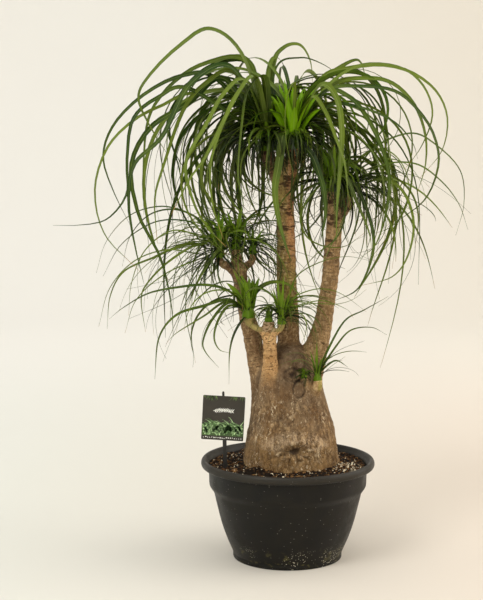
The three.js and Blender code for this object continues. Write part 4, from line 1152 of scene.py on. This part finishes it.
def finish(material, colour, roughness, height, distance, strength=1.0, specular=0.5):
    """Gives a material its colour, roughness and height. distance is the height's scale."""
    tree = material.node_tree
    shader = tree.nodes["Principled BSDF"]
    tree.links.new(colour, shader.inputs["Base Color"])
    if isinstance(roughness, bpy.types.NodeSocket):
        tree.links.new(roughness, shader.inputs["Roughness"])
    else:
        shader.inputs["Roughness"].default_value = roughness
    bump = add(tree, "Bump", Height=height, Strength=strength, Distance=distance)
    tree.links.new(bump.outputs[0], shader.inputs["Normal"])
    shader.inputs["Specular IOR Level"].default_value = specular
    return material


def new_group(name, **inputs):
    """A shader node group and its inputs, each a colour or a number."""
    group = bpy.data.node_groups.new(name, "ShaderNodeTree")
    for key, value in inputs.items():
        kind = "Color" if isinstance(value, tuple) else "Float"
        socket = group.interface.new_socket(key.replace("_", " "), in_out="INPUT",
                                            socket_type=f"NodeSocket{kind}")
        socket.default_value = value
    return group, group.nodes.new("NodeGroupInput").outputs


def closed_group(group, **outputs):
    """The group with its outputs, each a colour or a number by the socket that feeds it."""
    for key, socket in outputs.items():
        kind = "Color" if socket.type == "RGBA" else "Float"
        group.interface.new_socket(key, in_out="OUTPUT", socket_type=f"NodeSocket{kind}")
    result = group.nodes.new("NodeGroupOutput")
    for key, socket in outputs.items():
        group.links.new(socket, result.inputs[key])
    return group


def placed(tree, group, **inputs):
    """The outputs of a group placed in a material, with its inputs set."""
    return add(tree, "Group", {"node_tree": group}, **inputs).outputs


def leaf_surface_group():
    """Colour, roughness and height of a leaf: green that turns from deep to olive in patches, with
    painted shade inside the crown on the older leaves near the head's middle, bright yellow-green where
    young, veins along it with a pale midline, a pale root, brownish ends on thin leaves and dry tips on
    some."""
    group, given = new_group("Leaf surface", Deep=rgb(31, 57, 5), Olive=rgb(100, 118, 34),
                             Young=rgb(114, 158, 8), Freshness=0.0)
    across, along, _ = add(group, "SeparateXYZ", in_0=add(group, "TexCoord").outputs["UV"]).outputs
    tone, youth, breadth, reach = own_values(group, "tone youth breadth reach")
    patches = cloudy(texture_place(group), 14.0, 3.0)
    share = weighted((tone, 0.5), (patches, 0.6))
    # inner: painted shade inside the crown, on older leaves near the head's middle.
    inner = times(between(reach, 0.5, 1.3, 1.0, 0.0), between(youth, 0.02, 0.25, 1.0, 0.0))
    fresh = reckon("MAXIMUM", youth, given["Freshness"])
    vein = reckon("SINE", times(across, times(breadth, 7.5)))
    midline = between(reckon("ABSOLUTE", reckon("SUBTRACT", across, 0.5)), 0.0, 0.05, 1.0, 0.0)
    thin = times(between(breadth, 4.0, 9.0, 1.0, 0.2), between(youth, 0.02, 0.3, 1.0, 0.0),
                 between(along, 0.35, 0.95, 0.0, 0.55))
    worn = reckon("ADD", along, times(between(tone, 0.55, 1.0), 0.07))
    dry = between(reckon("ADD", worn, times(patches, 0.05)), 1.015, 1.06)
    colour = layered(
        tinted(between(share, 0.25, 0.85), given["Deep"], given["Olive"]),
        # painted shade inside the crown
        (inner, (7, 21, 2)),
        (between(fresh, 0.1, 1.0), given["Young"]),
        (between(vein, 0.2, 1.0, 0.0, 0.22), (46, 66, 22), "MULTIPLY"),
        (times(midline, 0.3), (176, 190, 110)),
        (thin, (74, 70, 38)),
        (between(along, 0.0, 0.05, 0.6, 0.0), (140, 150, 76)),
        (times(dry, between(youth, 0.3, 0.6, 1.0, 0.0)), (150, 118, 66)))
    return closed_group(group, Colour=colour, Roughness=between(patches, 0.3, 0.7, 0.38, 0.52),
                        Height=weighted((vein, 0.3), (midline, -1.0)))


def leaf_material(name, surface, freshness):
    """A finish of leaves that are at least that fresh."""
    material, tree = new_material(name)
    leaf = placed(tree, surface, Freshness=freshness)
    return finish(material, leaf["Colour"], leaf["Roughness"], leaf["Height"], 0.00012, 0.6, 0.14)


def mottle_group():
    """Fine mottling that several finishes use: a mask of specks and a mask of soft patches."""
    group, given = new_group("Mottle", Speck_size=400.0, Speck_share=0.2, Patch_size=30.0)
    place = texture_place(group)
    cell = add(group, "TexVoronoi", Vector=place, Scale=given["Speck size"]).outputs
    chosen = add(group, "SeparateColor", in_0=cell["Color"]).outputs[0]
    chosen = reckon("LESS_THAN", chosen, given["Speck share"])
    return closed_group(group, Specks=times(between(cell["Distance"], 0.18, 0.34, 1.0, 0.0), chosen),
                        Patches=between(cloudy(place, given["Patch size"], 5.0), 0.35, 0.65))


def crackle_group():
    """Bark broken into small scales: a mask of thin cracks and a mask of pale loose flakes."""
    group, given = new_group("Crackle", Scale_size=150.0, Flake_size=70.0)
    place = texture_place(group, (1, 1, 0.6))
    warp = add(group, "TexNoise", Vector=place, Scale=90.0, Detail=3.0).outputs["Color"]
    warped = add(group, "VectorMath", {"operation": "MULTIPLY_ADD"}, in_0=warp, in_1=(0.012, 0.012, 0.012),
                 in_2=place).outputs[0]
    edge = add(group, "TexVoronoi", {"feature": "DISTANCE_TO_EDGE"}, Vector=warped,
               Scale=given["Scale size"]).outputs["Distance"]
    uneven = between(cloudy(place, 45.0, 3.0), 0.38, 0.6)
    return closed_group(group, Cracks=times(between(edge, 0.0, 0.16, 1.0, 0.0), uneven),
                        Flakes=between(cloudy(warped, given["Flake size"], 7.0, 0.78), 0.56, 0.61))


def bark_material(crackle):
    """Bark: grey-brown, mottled and flaky on the swollen base, with painted shade on its top under the
    stems and in its hollows and creases, paler round the knot and yellower by the soil; ringed and banded
    with leaf scars on the stems, with painted light making them lighter towards the right, mossy on the
    centre one and lit tan higher up; pale tan with short dark dashes on the cut stub, and knobbly on the
    side nub."""
    material, tree = new_material("Bark")
    place = texture_place(tree)
    swollen, stub, twig, nub, hollow, halo, scar, along = own_values(
        tree, "swollen stub twig nub hollow halo scar place")
    aside, _, up = add(tree, "SeparateXYZ", in_0=place).outputs
    broad = cloudy(place, 16.0, 3.0)
    folds = cloudy(texture_place(tree, (1, 1, 0.22)), 130.0, 5.0, 0.65)
    fine = cloudy(place, 420.0, 5.0, 0.7)
    mottled = cloudy(texture_place(tree, (1, 1, 0.55)), 170.0, 4.0, 0.68)
    patches = cloudy(place, 75.0, 5.0, 0.7)
    dashes = cloudy(texture_place(tree, (1, 1, 2.4)), 130.0, 3.0, 0.5)
    bands = cloudy(texture_place(tree, (0.35, 0.35, 1)), 80.0, 3.0, 0.65)
    scales = placed(tree, crackle)
    small = placed(tree, crackle, Scale_size=330.0, Flake_size=200.0)

    rough = times(between(up, 0.27, 0.33, 1.0, 0.4),
                  between(cloudy(place, 22.0, 3.0, 0.5), 0.44, 0.56, 0.3, 1.0))
    loose = times(between(cloudy(place, 30.0, 4.0, 0.6), 0.44, 0.58, 0.15, 1.0),
                  between(up, 0.3, 0.36, 1.0, 0.25))
    base = layered(
        tinted(between(broad, 0.38, 0.62), (120, 90, 56), (134, 112, 84)),
        # painted shade: the top of the swollen base darker under the stems, less so on the cut stub
        (times(between(up, 0.29, 0.37, 0.0, 0.6), between(stub, 0.2, 0.6, 1.0, 0.3)), (102, 86, 68)),
        (times(between(stub, 0.3, 0.7), between(up, 0.3, 0.34, 0.0, 0.6)), (156, 120, 80)),
        (times(between(up, 0.2, 0.28, 1.0, 0.0), 0.6), (150, 116, 68)),
        (times(between(halo, 0.1, 0.9), between(patches, 0.36, 0.52), 0.8), (196, 170, 136)),
        (between(folds, 0.42, 0.56, 0.4, 0.0), (80, 58, 36)),
        (times(between(mottled, 0.38, 0.5, 0.65, 0.0), rough), (72, 50, 28)),
        (times(between(mottled, 0.53, 0.62, 0.0, 0.55), rough), (188, 158, 114)),
        (times(loose, scales["Flakes"]), (202, 178, 142)),
        (times(loose, small["Flakes"]), (222, 202, 168)),
        (times(small["Cracks"], 0.6), (62, 44, 27)))

    rings = reckon("SINE", weighted((along, 1.02), (cloudy(place, 70.0), 7.0)))
    crack = times(between(rings, 0.6, 1.0), between(cloudy(place, 120.0, 3.0), 0.42, 0.62))
    centre = times(between(aside, -0.034, -0.018), between(aside, 0.02, 0.03, 1.0, 0.0))
    mossy = times(between(broad, 0.3, 0.6, 0.2, 0.75), between(up, 0.42, 0.5))
    lit = times(between(up, 0.53, 0.6), between(aside, -0.008, 0.002), 0.8)
    stems = layered(
        tinted(between(broad, 0.35, 0.65), (118, 90, 60), (172, 140, 100)),
        # painted light: the stems lighter towards the right, where the side lamp falls
        (between(aside, -0.02, 0.04, 0.0, 0.35), (200, 166, 112)),
        (times(centre, mossy), (152, 140, 64)),
        (times(centre, lit), (206, 148, 98)),
        (between(fine, 0.35, 0.65, 0.45, 0.0), (84, 60, 40)),
        (between(mottled, 0.4, 0.5, 0.4, 0.0), (88, 62, 38)),
        (between(mottled, 0.54, 0.62, 0.0, 0.45), (206, 176, 132)),
        (times(crack, 0.85), (62, 43, 29)),
        (times(small["Flakes"], 0.5), (198, 174, 136)),
        (times(between(bands, 0.52, 0.6), between(up, 0.5, 0.62), 0.85), (58, 36, 20)))

    stump = tinted(between(dashes, 0.45, 0.6), (176, 148, 116), (104, 76, 46))
    wood = layered(
        tinted(between(broad, 0.3, 0.7), (192, 150, 98), (216, 176, 124)),
        (between(patches, 0.44, 0.6, 0.0, 0.6), (162, 120, 72)),
        (times(small["Flakes"], 0.5), (228, 196, 150)),
        (between(fine, 0.35, 0.6, 0.4, 0.0), (140, 100, 58)),
        (between(dashes, 0.54, 0.62, 0.0, 0.8), (100, 70, 40)),
        (between(up, 0.438, 0.442), tinted(between(twig, 0.3, 0.8), stump, (166, 150, 92))))
    knobbly = layered(
        tinted(between(aside, 0.052, 0.06), (198, 158, 112), (150, 142, 66)),
        (between(fine, 0.35, 0.6, 0.5, 0.0), (104, 78, 44)),
        (between(mottled, 0.5, 0.58, 0.0, 0.6), (226, 200, 150)))

    ragged = weighted((up, 1.0), (reckon("SUBTRACT", patches, 0.5), 0.05))
    swollen = reckon("MAXIMUM", swollen, times(stub, between(ragged, 0.338, 0.37, 1.0, 0.0)))
    colour = layered(
        base,
        (between(swollen, 0.2, 0.8, 1.0, 0.0), stems),
        (times(between(stub, 0.35, 0.7), between(ragged, 0.338, 0.37)), wood),
        (times(between(nub, 0.35, 0.7, 0.0, 0.9), between(up, 0.324, 0.334)), knobbly),
        (times(scar, 0.6), (110, 88, 64)),
        # painted shade in the knot, the groove round the scar, the collars and the creases
        (between(hollow, 0.15, 0.9, 0.0, 0.85), (38, 26, 17)))
    height = weighted((folds, 1.4), (fine, 0.7), (crack, -0.7), (scales["Cracks"], -0.9),
                      (scales["Flakes"], 0.5))
    return finish(material, colour, 0.86, height, 0.0012, specular=0.25)


def pot_material(mottle):
    """Near-black plastic, dusty, with white specks, fine turned lines and lime residue by the foot."""
    material, tree = new_material("Pot plastic")
    place = texture_place(tree)
    dust = placed(tree, mottle, Speck_size=330.0, Speck_share=0.035, Patch_size=26.0)
    lime = placed(tree, mottle, Speck_size=300.0, Speck_share=0.8, Patch_size=22.0)
    up = add(tree, "SeparateXYZ", in_0=place).outputs[2]
    by_foot = between(up, 0.02, 0.045, 1.0, 0.0)
    spots = times(between(cloudy(place, 17.0, 3.0), 0.52, 0.57), by_foot, lime["Specks"])
    moss = times(between(cloudy(place, 60.0), 0.55, 0.66), by_foot)
    colour = layered(
        tinted(dust["Patches"], (14, 13, 10), (23, 21, 15)),
        (times(dust["Specks"], 0.5), (150, 146, 136)),
        (spots, (206, 200, 178)),
        (times(moss, 0.5), (96, 90, 50)),
        (between(up, 0.172, 0.18, 0.0, 0.5), (56, 52, 45)))
    lines = cloudy(texture_place(tree, (1, 1, 60)), 12.0, 2.0, 0.5)
    height = weighted((lines, 0.5), (cloudy(place, 900.0, 2.0), 1.0))
    roughness = between(dust["Patches"], 0.0, 1.0, 0.4, 0.54)
    return finish(material, colour, roughness, height, 0.00022, 0.5, 0.22)


def soil_material(name, dark, pale, scale):
    """Soil and the bits in it: two tones in fine grains, and a tone of its own for each bit."""
    material, tree = new_material(name)
    grain = cloudy(texture_place(tree), scale, 6.0, 0.75)
    tone = weighted((*own_values(tree, "tone"), 0.5), (grain, 0.7))
    return finish(material, tinted(between(tone, 0.25, 0.8), dark, pale), 0.9, grain, 0.0012, specular=0.15)


def plain_material(name, mottle, dark, pale, roughness):
    """A smooth finish with faint patches: plastic, card and print."""
    material, tree = new_material(name)
    faint = placed(tree, mottle, Speck_size=350.0, Speck_share=0.1, Patch_size=60.0)
    tone = weighted((*own_values(tree, "tone"), 0.8), (faint["Patches"], 0.3))
    grain = cloudy(texture_place(tree), 700.0, 2.0)
    return finish(material, tinted(between(tone, 0.0, 1.0), dark, pale), roughness, grain, 0.00008, 0.4)


def backdrop_material():
    """Cream paper with painted light: cooler and lighter to the left, warmer to the right, with painted
    shade on the floor round the pot, and barely grained."""
    material, tree = new_material("Backdrop")
    place = texture_place(tree)
    side = between(add(tree, "SeparateXYZ", in_0=place).outputs[0], -1.2, 1.4)
    out = add(tree, "VectorMath", {"operation": "LENGTH"}, in_0=place).outputs["Value"]
    # painted light from left to right, and painted shade on the floor round the pot
    colour = layered(
        tinted(side, BACKDROP_LEFT, BACKDROP_RIGHT),
        (between(out, 0.5, 3.2, 1.0, 0.0), tinted(side, FLOOR_SHADE_LEFT, FLOOR_SHADE_RIGHT), "MULTIPLY"))
    return finish(material, colour, 0.9, cloudy(place, 300.0, 2.0), 0.0002, 0.2, 0.1)


# Stage, metres: a wide pale bowl, flat in the middle, and soft lights
# Painted light on the backdrop: its colour at the left and at the right. FLOOR_SHADE_* is painted shade on
# the floor round the pot.
BACKDROP_LEFT = (238, 237, 232)
BACKDROP_RIGHT = (236, 230, 219)
FLOOR_SHADE_LEFT = (0.80, 0.83, 0.81, 1.0)
FLOOR_SHADE_RIGHT = (0.81, 0.72, 0.67, 1.0)
BOWL_FLAT = 3.4
BOWL_RISE = 2.6
BOWL_TOP = 6.0
BOWL_SIDES = 128
AIR_COLOUR = (1.0, 0.99, 0.975, 1)
AIR_STRENGTH = 1.1

# Round lamps: name, place, aim, size, power and colour
LAMPS = [
    ("key", (-1.7, -2.3, 3.0), (0, 0, 0.5), 1.8, 58, (1.0, 0.99, 0.97)),
    ("side", (2.6, 0.1, 1.6), (0, 0, 0.4), 3.0, 48, (1.0, 0.95, 0.89)),
]


def stage():
    """The floor and the backdrop in one: flat to BOWL_FLAT metres out, then a quarter round that
    ends in an upright wall."""
    rise = [(BOWL_FLAT + BOWL_RISE * np.sin(turn), BOWL_RISE * (1 - np.cos(turn)))
            for turn in np.linspace(0, np.pi / 2, 24)]
    profile = [(0.3, 0), (1.0, 0), (2.0, 0), *rise, (BOWL_FLAT + BOWL_RISE, BOWL_TOP)][::-1]
    points = np.concatenate([turned(profile, BOWL_SIDES).reshape(-1, 3), [[0, 0, 0]]])
    here = np.arange(BOWL_SIDES)
    inner = (len(profile) - 1) * BOWL_SIDES
    middle = np.stack([0 * here + len(points) - 1, inner + here, inner + (here + 1) % BOWL_SIDES], axis=1)
    mesh = bpy.data.meshes.new("backdrop")
    mesh.from_pydata(points.tolist(), [], ring_faces(len(profile), BOWL_SIDES).tolist() + middle.tolist())
    mesh.shade_smooth()
    bowl = placed_object("backdrop", mesh)
    mesh.materials.append(backdrop_material())


def aimed(thing, place, aim):
    """Puts a lamp or a camera at a place and points it at its aim."""
    thing.location = place
    thing.rotation_euler = (Vector(aim) - Vector(place)).to_track_quat("-Z", "Y").to_euler()
    return thing


def lights():
    """One large soft lamp high on the left in front, a smaller one on the right, and pale air."""
    for name, place, aim, size, power, colour in LAMPS:
        lamp = bpy.data.lights.new(name, "AREA")
        lamp.shape = "DISK"
        lamp.size = size
        lamp.energy = power
        lamp.color = colour
        aimed(placed_object(name, lamp), place, aim)
    world = bpy.data.worlds.new("Air")
    world.use_nodes = True
    air = world.node_tree.nodes["Background"].inputs
    air["Color"].default_value = AIR_COLOUR
    air["Strength"].default_value = AIR_STRENGTH
    bpy.context.scene.world = world
    bpy.context.scene.view_settings.view_transform = "Standard"


def camera():
    """The camera at the photograph's viewing angle."""
    lens = bpy.data.cameras.new("view")
    lens.lens = CAMERA_LENS
    lens.sensor_fit = "AUTO"
    lens.sensor_width = CAMERA_SENSOR
    bpy.context.scene.camera = aimed(placed_object("view", lens), CAMERA_PLACE, CAMERA_AIM)


def plant():
    """The whole object: pot, soil and its bits, trunk, leaf heads and label."""
    mottle = mottle_group()
    surface = leaf_surface_group()
    pot(pot_material(mottle))
    soil(soil_material("Soil", (14, 8, 3), (58, 40, 24), 260.0))
    crumb = soil_material("Soil crumbs", (18, 10, 4), (86, 60, 36), 500.0)
    chip = soil_material("Bark bits", (44, 24, 12), (132, 98, 60), 400.0)
    perlite = soil_material("White grains", (150, 124, 84), (236, 224, 196), 600.0)
    scattered("soil_crumbs", 900, (1.6, 4.5), (1, 0.8, 0.6), 11, crumb)
    scattered("soil_bark_bits", 420, (2.5, 7.0), (1, 0.45, 0.28), 12, chip)
    scattered("soil_white_grains", 330, (1.0, 2.6), (1, 0.9, 0.8), 13, perlite)
    scattered("soil_white_grains_right", 110, (1.2, 2.8), (1, 0.9, 0.8), 14, perlite,
              ((104, -34), (17, 22)))
    trunk(bark_material(crackle_group()))
    leaf = leaf_material("Leaf", surface, 0.0)
    young = leaf_material("Young leaf", surface, 0.2)
    for number, head in enumerate(HEADS):
        material = young if frame_slot(head["name"]) == "young_leaf" else leaf
        leaf_head({**HEAD_USUAL, **head}, number, material)
    label_stake(plain_material("Stake plastic", mottle, (28, 26, 23), (46, 42, 38), 0.5))
    label_card(plain_material("Card", mottle, (42, 37, 28), (58, 52, 40), 0.35))
    label_print(plain_material("Grass print", mottle, (84, 128, 62), (186, 222, 160), 0.4),
                plain_material("Fringe print", mottle, (52, 78, 34), (104, 132, 66), 0.4),
                plain_material("Pale print", mottle, (214, 216, 206), (252, 252, 246), 0.4))


camera()
lights()
stage()
plant()
